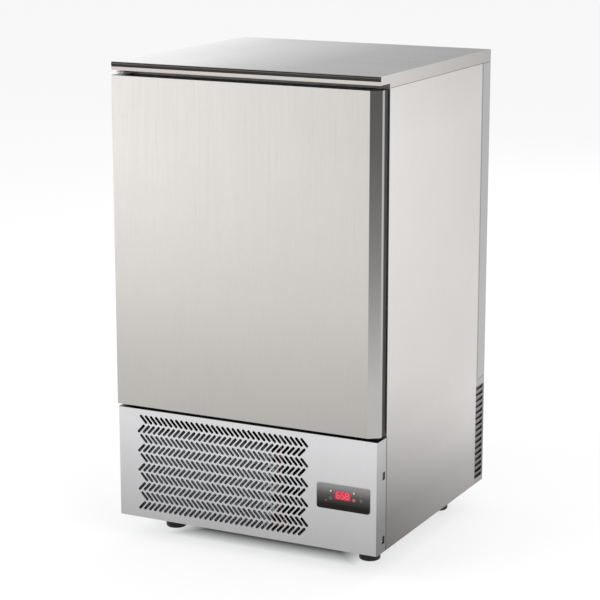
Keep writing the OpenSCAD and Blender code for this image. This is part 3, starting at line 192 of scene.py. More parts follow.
paint.links.new(glow.outputs[0], both_shaders.inputs[1])
paint.links.new(both_shaders.outputs[0], paint.nodes["Material Output"].inputs["Surface"])
floor_mesh.materials.append(floor_paint)

for lamp_name, place, size, power in (
        ("lamp_left", (-3.4, -4.2, 3.6), 4.0, 130),
        ("lamp_right", (4.6, -2.6, 3.2), 4.0, 90),
        ("lamp_back", (0.5, 4.8, 3.6), 4.0, 70)):
    lamp = bpy.data.objects.new(lamp_name, bpy.data.lights.new(lamp_name, "AREA"))
    scene.collection.objects.link(lamp)
    lamp.location = place
    lamp.rotation_euler = (Vector((0, 0, 0.6)) - lamp.location).to_track_quat("-Z", "Y").to_euler()
    lamp.data.shape = "SQUARE"
    lamp.data.size = size
    lamp.data.energy = power


# ---------- Base frame and pans ----------
# A folded tray of galvanised sheet carries the bay's machinery, and a second pan closes
# the foam above it. The zinc shows its crystals as dull patches.


def new_finish(name):
    """An empty material, its node tree and its shader."""
    finish = bpy.data.materials.new(name)
    finish.use_nodes = True
    return finish, finish.node_tree, finish.node_tree.nodes["Principled BSDF"]


def noise(tree, place, scale, detail=3.0, rough=0.55):
    """Soft spots, about scale of them to each unit of place."""
    spots = tree.nodes.new("ShaderNodeTexNoise")
    spots.inputs["Scale"].default_value = scale
    spots.inputs["Detail"].default_value = detail
    spots.inputs["Roughness"].default_value = rough
    tree.links.new(place, spots.inputs["Vector"])
    return spots.outputs["Fac"]


def ramp(tree, value, stops):
    """A colour that changes along value; stops are (value, colour)."""
    band = tree.nodes.new("ShaderNodeValToRGB")
    tones = band.color_ramp.elements
    while len(tones) < len(stops):
        tones.new(1.0)
    for tone, (spot, colour) in zip(tones, stops):
        tone.position = spot
        tone.color = (*colour, 1)
    tree.links.new(value, band.inputs["Fac"])
    return band.outputs["Color"]


def blend_colours(tree, share, first, second, how="MIX"):
    """Mixes two colours, each a socket or a plain colour; share is a socket or a number."""
    mix = tree.nodes.new("ShaderNodeMix")
    mix.data_type = "RGBA"
    mix.blend_type = how
    for socket, source in ((mix.inputs[0], share), (mix.inputs[6], first), (mix.inputs[7], second)):
        if isinstance(source, bpy.types.NodeSocket):
            tree.links.new(source, socket)
        else:
            socket.default_value = source if isinstance(source, (int, float)) else (*source, 1)
    return mix.outputs[2]


def bump(tree, shader, height, strength, distance):
    """Raises the surface a little where height is high."""
    lift = tree.nodes.new("ShaderNodeBump")
    lift.inputs["Strength"].default_value = strength
    lift.inputs["Distance"].default_value = distance
    tree.links.new(height, lift.inputs["Height"])
    tree.links.new(lift.outputs["Normal"], shader.inputs["Normal"])


def dress(finish, *names):
    """Gives CAD nodes their finish."""
    for name in names:
        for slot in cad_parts[name].material_slots:
            slot.material = finish


zinc, tree, shader = new_finish("zinc")
crystals_to_a_metre = 55
crystals = tree.nodes.new("ShaderNodeTexVoronoi")
crystals.inputs["Scale"].default_value = crystals_to_a_metre
tree.links.new(place_on_piece(tree), crystals.inputs["Vector"])
each_crystal = tree.nodes.new("ShaderNodeSeparateColor")
tree.links.new(crystals.outputs["Color"], each_crystal.inputs[0])
tree.links.new(ramp(tree, each_crystal.outputs[0], [(0, (0.42, 0.44, 0.46)), (1, (0.60, 0.62, 0.64))]),
               shader.inputs["Base Color"])
tree.links.new(spread(tree, each_crystal.outputs[1], 0, 1, 0.38, 0.55), shader.inputs["Roughness"])
shader.inputs["Metallic"].default_value = 0.85
dress(zinc, "base_frame", "cabinet_underpan")


# ---------- Feet ----------
# Four black plastic cups screw up and down on plastic stems under the base, and each
# is gripped by the upright ribs round it.


def black_plastic_finish(name, tone, rough, grain_scale=900, gloss=0.5):
    """Moulded black plastic or rubber with a fine grain and a few scuffs."""
    finish, tree, shader = new_finish(name)
    grain = noise(tree, place_on_piece(tree), grain_scale, 2)
    scuffs = noise(tree, place_on_piece(tree), 14, 4)
    tree.links.new(ramp(tree, scuffs, [(0.3, [t * 0.8 for t in tone]), (0.7, [t * 1.25 for t in tone])]),
                   shader.inputs["Base Color"])
    tree.links.new(spread(tree, scuffs, 0.3, 0.7, rough - 0.06, rough + 0.08), shader.inputs["Roughness"])
    shader.inputs["Specular IOR Level"].default_value = gloss
    bump(tree, shader, grain, 0.12, 0.0003)
    return finish


def add_piece(name, shape, finish, body, smooth=False):
    """Turns a bmesh into a piece with a finish, a body to ride on and a slot."""
    bmesh.ops.recalc_face_normals(shape, faces=shape.faces)
    mesh = bpy.data.meshes.new(name)
    shape.to_mesh(mesh)
    shape.free()
    mesh.materials.append(finish)
    if smooth:
        mesh.shade_smooth()
    piece = bpy.data.objects.new(name, mesh)
    scene.collection.objects.link(piece)
    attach(piece, body)
    return piece


def add_box(shape, low, high):
    """Adds a box between two corners to a bmesh."""
    low, high = Vector(low), Vector(high)
    place = Matrix.Translation((low + high) / 2) @ Matrix.Diagonal((*(high - low), 1))
    return bmesh.ops.create_cube(shape, size=1, matrix=place)["verts"]


foot_black = black_plastic_finish("foot_black", (0.007, 0.007, 0.008), 0.34, gloss=0.3)
dress(foot_black, "foot_sleeves")
foot_ribs = 28
rib_half = 0.0011
rib_low = 0.012
rib_high = 0.039
rib_root = 0.0022
rib_inset = 0.0001
for corner in ("front_left", "front_right", "rear_left", "rear_right"):
    node = "foot_" + corner
    dress(foot_black, node)
    low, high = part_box(node)
    centre = (low + high) / 2
    radius = (high.x - low.x) / 2
    ribs = bmesh.new()
    for turn in range(foot_ribs):
        rib = add_box(ribs, (radius - rib_root, -rib_half, rib_low),
                      (radius - rib_inset, rib_half, rib_high))
        bmesh.ops.rotate(ribs, verts=rib, cent=(0, 0, 0),
                         matrix=Matrix.Rotation(math.tau * turn / foot_ribs, 3, "Z"))
    bmesh.ops.translate(ribs, verts=ribs.verts, vec=(centre.x, centre.y, 0))
    add_piece(node + "_ribs", ribs, foot_black, node + "_body")


# ---------- Insulated body ----------
# The chamber is a drawn stainless box inside poured foam, painted dark where it meets the
# side sheets as painted shade in the seam. A plastic frame keeps the cold box off the front frame.


def tone_along(tree, axes, axis, stops, tint=(1, 1, 1)):
    """A grey that changes along an axis; stops are (place in metres, grey)."""
    start, end = stops[0][0], stops[-1][0]
    place = spread(tree, axes.outputs[axis], start, end, 0, 1)
    return ramp(tree, place, [((spot - start) / (end - start), [grey * t for t in tint])
                              for spot, grey in stops])


def steel_finish(name, axis, first, second=None, across=("X", -1, 1), grain=(620, 620, 4),
                 tint=(1, 0.96, 0.93), rough=0.30, edge=1.0, marks=()):
    """Brushed stainless sheet.

    first and second are the painted greys along axis at the two ends of across, which is
    (axis, start, end): painted reflection and shade. edge is how much of a low glance comes back.
    marks are (axis, start, end, axis of its greys, greys, tint) for parts of the sheet painted
    lighter or darker as painted highlight and shade.
    """
    finish, tree, shader = new_finish(name)
    plain = place_on_piece(tree)
    axes = tree.nodes.new("ShaderNodeSeparateXYZ")
    tree.links.new(plain, axes.inputs[0])
    colour = tone_along(tree, axes, axis, first, tint)
    if second:
        share = spread(tree, axes.outputs[across[0]], across[1], across[2], 0, 1)
        colour = blend_colours(tree, share, colour, tone_along(tree, axes, axis, second, tint))
    for over, start, end, run, greys, shade in marks:
        inside = spread(tree, axes.outputs[over], start, end, 0, 1)
        colour = blend_colours(tree, inside, colour, tone_along(tree, axes, run, greys, shade))
    strokes = noise(tree, place_on_piece(tree, grain), 1.0, 5, 0.7)
    clouds = noise(tree, plain, 2.6, 2)
    streaky = ramp(tree, strokes, [(0.25, (0.955,) * 3), (0.75, (1.0,) * 3)])
    cloudy = ramp(tree, clouds, [(0.3, (0.97,) * 3), (0.7, (1.0,) * 3)])
    colour = blend_colours(tree, 1.0, colour, streaky, "MULTIPLY")
    colour = blend_colours(tree, 1.0, colour, cloudy, "MULTIPLY")
    tree.links.new(colour, shader.inputs["Base Color"])
    tree.links.new(spread(tree, strokes, 0.25, 0.75, rough - 0.06, rough + 0.08),
                   shader.inputs["Roughness"])
    shader.inputs["Metallic"].default_value = 1.0
    shader.inputs["Specular Tint"].default_value = (edge, edge, edge, 1)
    bump(tree, shader, strokes, 0.035, 0.0001)
    return finish


chamber_low, chamber_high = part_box("inner_liner")
# The chamber's steel is painted a little lighter towards the top: painted light.
chamber_steel = steel_finish("chamber_steel", "Z", [(chamber_low.z, 0.60), (chamber_high.z, 0.66)],
                             rough=0.28)
dress(chamber_steel, "inner_liner", "condensate_tray")
# The front frame is painted a dark grey: painted shade in the gaps round the door, where it shows.
frame_steel = steel_finish("frame_steel", "Z", [(chamber_low.z, 0.30), (chamber_high.z, 0.30)],
                           tint=(1, 0.98, 0.95), rough=0.45)
dress(frame_steel, "front_frame")

foam_yellow, tree, shader = new_finish("foam_yellow")
cells = noise(tree, place_on_piece(tree), 420, 4)
cut_foam = ramp(tree, cells, [(0.3, (0.62, 0.52, 0.27)), (0.7, (0.80, 0.70, 0.42))])
axes = tree.nodes.new("ShaderNodeSeparateXYZ")
tree.links.new(place_on_piece(tree), axes.inputs[0])
foam_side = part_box("insulation_foam")[1].x
# Next to the side sheets the foam is painted nearly black: painted shade where it shows through the seam.
seam_shade_width = 0.001
seam_shade_share = spread(tree, size_of(tree, axes.outputs["X"]),
                 foam_side - 2 * seam_shade_width, foam_side - seam_shade_width, 0, 1)
tree.links.new(blend_colours(tree, seam_shade_share, cut_foam, (0.030, 0.024, 0.018)), shader.inputs["Base Color"])
shader.inputs["Roughness"].default_value = 0.9
bump(tree, shader, cells, 0.4, 0.001)
dress(foam_yellow, "insulation_foam", "worktop_core", "door_foam")

frame_black = black_plastic_finish("frame_black", (0.014, 0.013, 0.012), 0.50, gloss=0.2)
dress(frame_black, "thermal_break", "door_profile", "cord_bush")


# ---------- Side panels ----------
# Each is one sheet of stainless steel with a vertical grain, folded inwards at its
# edges. Behind each pressed slot a blade of the same sheet turns the air down.

low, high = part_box("side_panel_right")
strip_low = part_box("back_panel")[0]
# side_front and side_rear are painted greys, light at the top and darker towards the bottom front:
# painted reflection and shade.
side_front = [(0.065, 0.126), (0.15, 0.174), (0.25, 0.335), (0.35, 0.505), (0.50, 0.678),
              (0.90, 0.762), (1.10, 0.820), (high.z, 0.780)]
side_rear = [(0.065, 0.32), (0.15, 0.43), (0.25, 0.61), (0.35, 0.685), (0.50, 0.655),
             (0.90, 0.675), (1.10, 0.700), (high.z, 0.645)]
side_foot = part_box("lower_front_panel")[1].z
# The front fold is painted nearly black beside the lower panel: painted shade.
front_fold = [(low.z, 0.06), (side_foot, 0.06), (side_foot + 0.001, 0.75), (high.z, 0.75)]
front_edge = (low.y + 0.0024, low.y + 0.0016)
# By the rear seam the sheet rolls away from the light, and so do the strips between slots
seam_y = strip_low.y
rear_roll = (seam_y - 0.0085, seam_y - 0.0060)
louvre_foot = 0.0795
louvre_top = 0.3465
by_seam = [(low.z, 0.26), (louvre_foot, 0.30), (louvre_foot + 0.0015, 0.11), (0.20, 0.15),
           (louvre_top, 0.20), (louvre_top + 0.002, 0.66), (strip_low.z - 0.001, 0.66),
           (strip_low.z + 0.001, 0.42), (high.z, 0.39)]
side_steel = steel_finish(
    "side_steel", "Z", side_front, side_rear, ("Y", low.y, 0.25), tint=(1, 0.965, 0.945),
    marks=[("Y", *front_edge, "Z", front_fold, (1, 1, 1)),
           ("Y", *rear_roll, "Z", by_seam, (1, 0.99, 0.99))])
dress(side_steel, "side_panel_right", "side_panel_left")

louvre_count = 16
louvre_pitch = 0.017
louvre_height = 0.0105
louvre_first = 0.0805
louvre_rear = 0.3483
louvre_length = 0.050
blade_depth = 0.0095
blade_drop = 0.0148
blade_sheet = 0.0010
blade_inset = 0.0014
blade_lap = 0.0006
# The blades are painted near black at their foot and lighter upwards: painted shade inside the slots.
blade_steel = steel_finish("blade_steel", "Z", [(0.08, 0.04), (0.10, 0.22), (0.13, 0.38), (0.36, 0.50)],
                           rough=0.70)


def add_blade(shape, corner, along, slope):
    """A thin blade whose top edge runs along from a corner, and which slopes away from it."""
    under = Vector((0, 0, -blade_sheet))
    ends = [[shape.verts.new(end + step) for step in (Vector(), slope, slope + under, under)]
            for end in (corner, corner + along)]
    for i in range(4):
        j = (i + 1) % 4
        shape.faces.new((ends[0][i], ends[0][j], ends[1][j], ends[1][i]))
    shape.faces.new(ends[0])
    shape.faces.new(ends[1])


for hand, sign in (("left", -1), ("right", 1)):
    blades = bmesh.new()
    for row in range(louvre_count):
        top = louvre_first + row * louvre_pitch + louvre_height + blade_lap
        add_blade(blades, Vector((sign * (high.x - blade_inset), louvre_rear - louvre_length, top)),
                  Vector((0, louvre_length, 0)), Vector((-sign * blade_depth, 0, -blade_drop)))
    add_piece("louvre_blades_" + hand, blades, blade_steel, "cabinet")


# ---------- Back panel ----------
# One stainless sheet closes the foam at the back. It is folded round the rear corners,
# and the ends of its folds are painted dark as painted shade, a dark seam beside the side panels.

low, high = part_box("back_panel")
fold_ends = (low.y + 0.0008, low.y + 0.0004)
seam_tones = [(low.z, 0.10), (high.z, 0.10)]
back_steel = steel_finish("back_steel", "Z", [(low.z, 0.47), (0.7, 0.46), (high.z, 0.47)],
                          tint=(0.99, 0.99, 1.0), rough=0.34,
                          marks=[("Y", *fold_ends, "Z", seam_tones, (1, 1, 1))])
dress(back_steel, "back_panel")


# ---------- Rear service panel ----------
# A galvanised sheet, screwed on, lets the bay's warm air out through three columns of
# vents. Inside each vent a pressed blade keeps spray and daylight out.

dress(zinc, "rear_service_panel")
low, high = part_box("rear_service_panel")
vent_columns = (-0.200, -0.060, 0.080)
vent_rows = 9
vent_pitch = 0.018
vent_half = 0.059
first_vent_drop = 0.050
blade_rise = 0.0048
blade_start = low.y + 0.0002
vent_slope = Vector((0, -0.0085, -0.0135))
vent_blades = bmesh.new()
for column in vent_columns:
    for row in range(vent_rows):
        top = high.z - first_vent_drop + blade_rise - row * vent_pitch
        add_blade(vent_blades, Vector((column - vent_half, blade_start, top)),
                  Vector((2 * vent_half, 0, 0)), vent_slope)
add_piece("vent_blades", vent_blades, zinc, "cabinet")


# ---------- Worktop ----------
# A folded stainless top with its grain across, a foam core, and a front edge that is
# rolled over above a plain strip.

low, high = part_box("worktop")
roll_height = 0.0118
roll_depth = 0.0056
roll_bottom = high.z - roll_height
roll_back = low.y + roll_depth
# The strip under the roll is painted light and the roll itself painted dark: painted reflections
nose_tones = [(low.z, 0.58), (roll_bottom - 0.0006, 0.64),
              (roll_bottom + 0.0002, 0.045), (high.z, 0.038)]
side_edge = (high.x - 0.0012, high.x - 0.0004)
side_tones = [(low.y, 0.725), (high.y, 0.465)]
before_roll = (roll_back + 0.0008, roll_back - 0.0004)
# The top's greys, and those of its side edge, are painted: white at the left falling to dark at the right
# and rear, a painted reflection.
worktop_steel = steel_finish(
    "worktop_steel", "X", [(low.x, 1.0), (-0.20, 0.88), (-0.05, 0.51), (0.12, 0.26), (high.x, 0.17)],
    [(low.x, 0.86), (-0.20, 0.46), (-0.05, 0.36), (0.12, 0.16), (high.x, 0.02)],
    ("Y", low.y, high.y), grain=(4, 620, 620), tint=(1, 1, 1.01), rough=0.26, edge=0.93,
    marks=[("X", *side_edge, "Y", side_tones, (1, 0.95, 0.92)),
           ("Y", *before_roll, "Z", nose_tones, (1, 0.93, 0.87))])
dress(worktop_steel, "worktop")


# ---------- Lower front panel ----------
# A folded stainless cover, hooked on at its sides, with ten rows of slots punched in a
# herringbone for the condenser's air.

low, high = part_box("lower_front_panel")
# The panel is painted darker towards the bottom, its side folds darker and its top fold nearly black:
# painted reflection and shade.
side_fold = (high.x - 0.0030, high.x - 0.0010)
side_tones = [(low.z, 0.17), (0.15, 0.215), (0.25, 0.37), (high.z, 0.52)]
top_fold = (high.z - 0.0008, high.z - 0.0002)
top_tones = [(low.x, 0.03), (high.x, 0.03)]
lower_steel = steel_finish(
    "lower_steel", "Z", [(low.z, 0.45), (0.10, 0.48), (0.20, 0.565), (0.335, 0.69), (high.z, 0.69)],
    tint=(0.985, 0.985, 1.0), rough=0.32,
    marks=[("X", *side_fold, "Z", side_tones, (1, 0.99, 1.01)),
           ("Z", *top_fold, "X", top_tones, (1, 1, 1))])
dress(lower_steel, "lower_front_panel")

# The zinc-plated hooks stand behind the notches in the panel's folds; their zinc is painted dark grey as
# painted shade
notch_heights = (0.098, 0.267)
hook_half = 0.008
hook_sheet = 0.0010
hook_face = high.x - 0.0027
hook_front = low.y + 0.036
hook_back = low.y + 0.0578
hooks = bmesh.new()
for sign in (-1, 1):
    near, far = sorted((sign * hook_face, sign * (hook_face - hook_sheet)))
    for height in notch_heights:
        add_box(hooks, (near, hook_front, height - hook_half), (far, hook_back, height + hook_half))
hook_zinc_painted_shade = steel_finish("hook_zinc_painted_shade", "Z", [(low.z, 0.13), (high.z, 0.17)],
                         tint=(1, 0.95, 0.92), rough=0.6)
add_piece("lower_panel_hooks", hooks, hook_zinc_painted_shade, "cabinet")


# ---------- Control panel ----------
# A satin black moulding snaps into the lower panel. Four round keys press switches on
# the board behind, and a red window shows three lit figures.

low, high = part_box("control_bezel")
bezel_black, tree, shader = new_finish("bezel_black")
axes = tree.nodes.new("ShaderNodeSeparateXYZ")
tree.links.new(place_on_piece(tree), axes.inputs[0])
rise = spread(tree, axes.outputs["Z"], low.z, high.z, 0, 1)
# The bezel's black is painted lighter towards its top, up to mid grey: a painted reflection, which the
# keys on it share.
shade = ramp(tree, rise, [(0, (0.004, 0.003, 0.003)), (0.18, (0.007, 0.006, 0.005)),
                          (0.35, (0.042, 0.037, 0.033)), (0.6, (0.10, 0.095, 0.09)),
                          (0.85, (0.25, 0.245, 0.24)), (1, (0.31, 0.31, 0.305))])
mist = noise(tree, place_on_piece(tree), 160, 2)
tree.links.new(blend_colours(tree, spread(tree, mist, 0.3, 0.7, 0, 0.08), shade, (0.05, 0.05, 0.05)),
               shader.inputs["Base Color"])
shader.inputs["Roughness"].default_value = 0.30
shader.inputs["Specular IOR Level"].default_value = 0.15
bump(tree, shader, mist, 0.03, 0.0002)
dress(bezel_black, "control_bezel")


def mottled_finish(name, grain, first, second, rough, metal=0.0, gloss=0.5, glow=None,
                   between=(0.3, 0.7), relief=None):
    """A finish that varies a little between two colours.

    grain is the (scale, detail) of its spots. rough is a number, or a pair that goes with the
    two colours. glow is the colour of its own light. relief is the (strength, depth) of a bump.
    """
    finish, tree, shader = new_finish(name)
    spots = noise(tree, place_on_piece(tree), *grain)
    tree.links.new(ramp(tree, spots, list(zip(between, (first, second)))), shader.inputs["Base Color"])
    if isinstance(rough, tuple):
        tree.links.new(spread(tree, spots, *between, *rough), shader.inputs["Roughness"])
    else:
        shader.inputs["Roughness"].default_value = rough
    shader.inputs["Metallic"].default_value = metal
    shader.inputs["Specular IOR Level"].default_value = gloss
    if glow:
        shader.inputs["Emission Color"].default_value = (*glow, 1)
        shader.inputs["Emission Strength"].default_value = 1.0
    if relief:
        bump(tree, shader, spots, *relief)
    return finish


def add_mark(shape, outline, x, y, z, thick=0.00012):
    """Adds a thin outline that faces forwards, such as a printed mark."""
    ring = [shape.verts.new((x + dx, y, z + dz)) for dx, dz in outline]
    face = shape.faces.new(ring)
    pulled = bmesh.ops.extrude_face_region(shape, geom=[face])["geom"]
    back = [part for part in pulled if isinstance(part, bmesh.types.BMVert)]
    bmesh.ops.translate(shape, verts=back, vec=(0, thick, 0))


window_red = mottled_finish("window_red", (90, 2), (0.30, 0.025, 0.042), (0.38, 0.035, 0.055), 0.12,
                            gloss=0.2, glow=(0.29, 0.012, 0.026))
dress(window_red, "display_window")

# Each figure's seven bars: (across, up, lies flat), in halves of the figure's size
bars = {"a": (0, 1, True), "b": (1, 0.5, False), "c": (1, -0.5, False), "d": (0, -1, True),
        "e": (-1, -0.5, False), "f": (-1, 0.5, False), "g": (0, 0, True)}
figures = ("acdefg", "acdfg", "abcdefg")
figure_w = 0.0085
figure_h = 0.0158
figure_pitch = 0.0125
figure_thick = 0.00015
bar_w = 0.0011
bar_gap = 0.6 * bar_w
mark_proud = 0.0001
low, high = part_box("display_window")
middle = (low + high) / 2
digits = bmesh.new()
for place, lit in enumerate(figures):
    for bar in lit:
        across, up, flat = bars[bar]
        reach = (figure_w if flat else figure_h / 2) / 2 - bar_gap
        points = [(-reach, 0), (-reach + bar_w, bar_w), (reach - bar_w, bar_w),
                  (reach, 0), (reach - bar_w, -bar_w), (-reach + bar_w, -bar_w)]
        outline = [(along, over) if flat else (over, along) for along, over in points]
        add_mark(digits, outline, middle.x + (place - 1) * figure_pitch + across * figure_w / 2,
                 low.y - mark_proud, middle.z + up * figure_h / 2, figure_thick)
lit_red = mottled_finish("lit_red", (300, 1), (0.55, 0.07, 0.10), (0.65, 0.10, 0.13), 0.4,
                         glow=(0.40, 0.05, 0.07))
add_piece("display_figures", digits, lit_red, "cabinet")


def round_outline(radius, points=20, start=0.0, z=0.0):
    """An outline of a round, from its start angle on."""
    return [(radius * math.cos(start + math.tau * i / points),
             z + radius * math.sin(start + math.tau * i / points)) for i in range(points)]


def open_ring(outer, inner, gap, steps=20):
    """An outline of a ring with a small gap at its top."""
    turns = [math.pi / 2 + gap + (math.tau - 2 * gap) * i / steps for i in range(steps + 1)]
    out = [(outer * math.cos(turn), outer * math.sin(turn)) for turn in turns]
    return out + [(inner * math.cos(turn), inner * math.sin(turn)) for turn in reversed(turns)]


ink_grain = (800, 2)
ink_rough = 0.6
key_pink = mottled_finish("key_pink", (700, 2), (0.34, 0.11, 0.12), (0.42, 0.14, 0.155), 0.45)
print_white = mottled_finish("print_white", ink_grain, (0.56, 0.57, 0.54), (0.68, 0.69, 0.66), ink_rough)
print_grey = mottled_finish("print_grey", ink_grain, (0.20, 0.20, 0.20), (0.28, 0.28, 0.28), ink_rough)
print_pink = mottled_finish("print_pink", ink_grain, (0.46, 0.20, 0.20), (0.54, 0.25, 0.25), ink_rough)

# Plain marks: a disc, a ring, a drop with its tip over most of a round, and a square
disc_mark = round_outline(0.0027, 24, z=-0.0006)
ring_mark = open_ring(0.0043, 0.0029, 0.2)
drop_mark = [(0, 0.0042), *round_outline(0.0024, 16, math.pi * 0.86, -0.0014)[:12]]
square_mark = round_outline(0.0022, 4, math.pi / 4)
key_marks = {"upper_left": (disc_mark, bezel_black, print_white),
             "lower_left": (ring_mark, bezel_black, print_grey),
             "upper_right": (drop_mark, bezel_black, print_white),
             "lower_right": (square_mark, key_pink, print_pink)}
for place, (outline, face_finish, ink_finish) in key_marks.items():
    node = "key_" + place
    dress(face_finish, node)
    low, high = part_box(node)
    mark = bmesh.new()
    add_mark(mark, outline, (low.x + high.x) / 2, low.y - mark_proud, (low.z + high.z) / 2)
    add_piece(node + "_mark", mark, ink_finish, node + "_body")

lamp_lens = mottled_finish("lamp_lens", (500, 1), (0.26, 0.25, 0.24), (0.33, 0.32, 0.30), 0.2)
dress(lamp_lens, "indicator_lenses")

board_green = mottled_finish("board_green", (260, 3), (0.02, 0.13, 0.05), (0.05, 0.22, 0.09), 0.35,
                             between=(0.45, 0.55))
dress(board_green, "control_board")

# Faint printed symbols to the right of the keys: a frost star over three bars
low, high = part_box("control_bezel")
middle = (low + high) / 2
print_y = low.y - mark_proud
symbol_x = middle.x + 0.050
star_z = middle.z + 0.013
star_arm = 0.0034
star_half = 0.0004
top_bar_z = middle.z + 0.002
bar_pitch = 0.0026
top_bar_reach = 0.0042
bar_shrink = 0.001
bar_half = 0.0005
symbols = bmesh.new()
for spoke in range(3):
    turn = math.pi * spoke / 3
    along = Vector((math.cos(turn), math.sin(turn))) * star_arm
    side = Vector((-math.sin(turn), math.cos(turn))) * star_half
    corners = [along + side, -along + side, -along - side, along - side]
    add_mark(symbols, [tuple(corner) for corner in corners], symbol_x, print_y, star_z)
for step in range(3):
    reach = top_bar_reach - step * bar_shrink
    add_mark(symbols, [(-reach, bar_half), (reach, bar_half), (reach, -bar_half), (-reach, -bar_half)],
             symbol_x, print_y, top_bar_z - step * bar_pitch)
faint_print = mottled_finish("faint_print", ink_grain, (0.20, 0.20, 0.20), (0.27, 0.27, 0.27), ink_rough)
add_piece("printed_symbols", symbols, faint_print, "cabinet")


# ---------- Compressor bay ----------
# A hermetic compressor on rubber mounts, a receiver and a drier stand behind a
# forced-air condenser. Brazed copper pipes join them.

enamel_black = mottled_finish("enamel_black", (130, 2), (0.014, 0.014, 0.015), (0.022, 0.022, 0.024),
                              0.22, relief=(0.1, 0.0006))
dress(enamel_black, "compressor", "liquid_receiver")

rubber_black = black_plastic_finish("rubber_black", (0.022, 0.022, 0.022), 0.75, 400)
dress(rubber_black, "compressor_mounts")

copper = mottled_finish("copper", (22, 4), (0.11, 0.060, 0.040), (0.22, 0.125, 0.085), (0.55, 0.38),
                        metal=1.0)
dress(copper, "refrigerant_pipes", "filter_drier", "evaporator_tubes")

motor_black = black_plastic_finish("motor_black", (0.030, 0.030, 0.032), 0.38, 500)
dress(motor_black, "condenser_motor", "evaporator_motors", "condenser_shroud")

fan_grey = mottled_finish("fan_grey", (34, 4), (0.30, 0.31, 0.32), (0.46, 0.47, 0.48), 0.4, metal=0.8)
dress(fan_grey, "condenser_fan")

box_grey = mottled_finish("box_grey", (60, 3), (0.42, 0.43, 0.44), (0.48, 0.49, 0.50), 0.5)
dress(box_grey, "electrical_box")


# ---------- Coil fins ----------
# Thin aluminium fins, close together, are pressed on the tubes of both coils. The
# condenser's are coated grey against grease and damp.

fin_sheet = 0.0003
end_sheet = 0.0015


def add_fins(name, node, count, finish):
    """A coil's close fins, which stand for the few that the frame holds."""
    low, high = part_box(node)
    fins = bmesh.new()
    pitch = (high.x - low.x - end_sheet) / (count - 1)
    for i in range(count):
        sheet = end_sheet if i in (0, count - 1) else fin_sheet
        x = low.x + i * pitch
        add_box(fins, (x, low.y, low.z), (x + sheet, high.y, high.z))
    piece = add_piece(name, fins, finish, "cabinet")
    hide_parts(node)


fin_dark = mottled_finish("fin_dark", (45, 3), (0.36, 0.37, 0.39), (0.48, 0.49, 0.52), 0.6, metal=0.3)
dress(fin_dark, "condenser_tubes")
add_fins("condenser_fin_pack", "condenser_fins", 126, fin_dark)

fin_bright = mottled_finish("fin_bright", (30, 3), (0.58, 0.59, 0.60), (0.70, 0.71, 0.72), 0.35,
                            metal=1.0)
add_fins("evaporator_fin_pack", "evaporator_fins", 100, fin_bright)


# ---------- Chamber fittings ----------
# Folded stainless racks hang on studs and hold angle runners for ten trays. Behind them
# a stainless plenum carries two fans and their plated wire guards.

# The racks' steel is painted lighter towards the top: painted light.
rack_steel = steel_finish("rack_steel", "Z", [(chamber_low.z, 0.50), (chamber_high.z, 0.62)],
                          grain=(620, 4, 620), rough=0.25)
dress(rack_steel, "rack_left", "rack_right", "runners_left", "runners_right", "fan_plenum")

fan_black = black_plastic_finish("fan_black", (0.050, 0.052, 0.055), 0.35)
dress(fan_black, "evaporator_fan_lower", "evaporator_fan_upper")

drain_white = mottled_finish("drain_white", (40, 3), (0.66, 0.66, 0.63), (0.76, 0.76, 0.74), 0.4)
dress(drain_white, "drain_pipe", "door_bushes")

plated_wire = mottled_finish("plated_wire", (80, 2), (0.56, 0.56, 0.57), (0.70, 0.70, 0.71), 0.2,
                             metal=1.0)


def add_wire(shape, points, radius, closed, sides=8):
    """A round wire through points, as a tube."""
    rings = []
    count = len(points)
    for i, point in enumerate(points):
        before = points[i - 1] if closed or i else point
        after = points[(i + 1) % count] if closed or i < count - 1 else point
        along = (after - before).normalized()
        across = along.cross(Vector((0, 1, 0))).normalized()
        over = along.cross(across)
        rings.append([shape.verts.new(point + radius * (across * math.cos(math.tau * s / sides)
                                                        + over * math.sin(math.tau * s / sides)))
                      for s in range(sides)])
    for i in range(count if closed else count - 1):
        here, there = rings[i], rings[(i + 1) % count]
        for s in range(sides):
            t = (s + 1) % sides
            shape.faces.new((here[s], here[t], there[t], there[s]))
    if not closed:
        shape.faces.new(rings[0])
        shape.faces.new(rings[-1])


# Each guard has six wire rings, welded to four wires that cross at its hub and bend back
low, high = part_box("fan_guards")
guard_radius = (high.x - low.x) / 2
wire_radius = 0.0015
guard_rings = 6
ring_points = 64
cross_wires = 4
past_last_ring = 0.018
ring_step = (guard_radius - past_last_ring) / guard_rings
spoke_reach = guard_radius - 0.001
bend_share = 0.96
ring_turns = [math.tau * i / ring_points for i in range(ring_points)]
guards = bmesh.new()
for fan in ("evaporator_fan_lower", "evaporator_fan_upper"):
    fan_low, fan_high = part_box(fan)
    hub_z = (fan_low.z + fan_high.z) / 2
    hub_y = low.y + wire_radius
    for ring in range(1, guard_rings + 1):
        circle = [Vector((ring * ring_step * math.cos(turn), hub_y,
                          hub_z + ring * ring_step * math.sin(turn))) for turn in ring_turns]
        add_wire(guards, circle, wire_radius, True)
    for wire in range(cross_wires):
        turn = math.pi * wire / cross_wires
        tip = Vector((math.cos(turn), 0, math.sin(turn))) * spoke_reach
        centre = Vector((0, hub_y + 2 * wire_radius, hub_z))
        drop = Vector((0, high.y - hub_y - 3 * wire_radius, 0))
        bend = tip * bend_share
        add_wire(guards, [centre - bend + drop, centre - bend, centre + bend, centre + bend + drop],
                 wire_radius, False)
guard_piece = add_piece("fan_guard_wires", guards, plated_wire, "cabinet", smooth=True)
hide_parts("fan_guards")


# ---------- Door ----------
# The outer skin is one sheet with a vertical grain, bevelled along the handle side.
# Black profiles frame the foam and hold the gasket, and a stainless liner closes it.

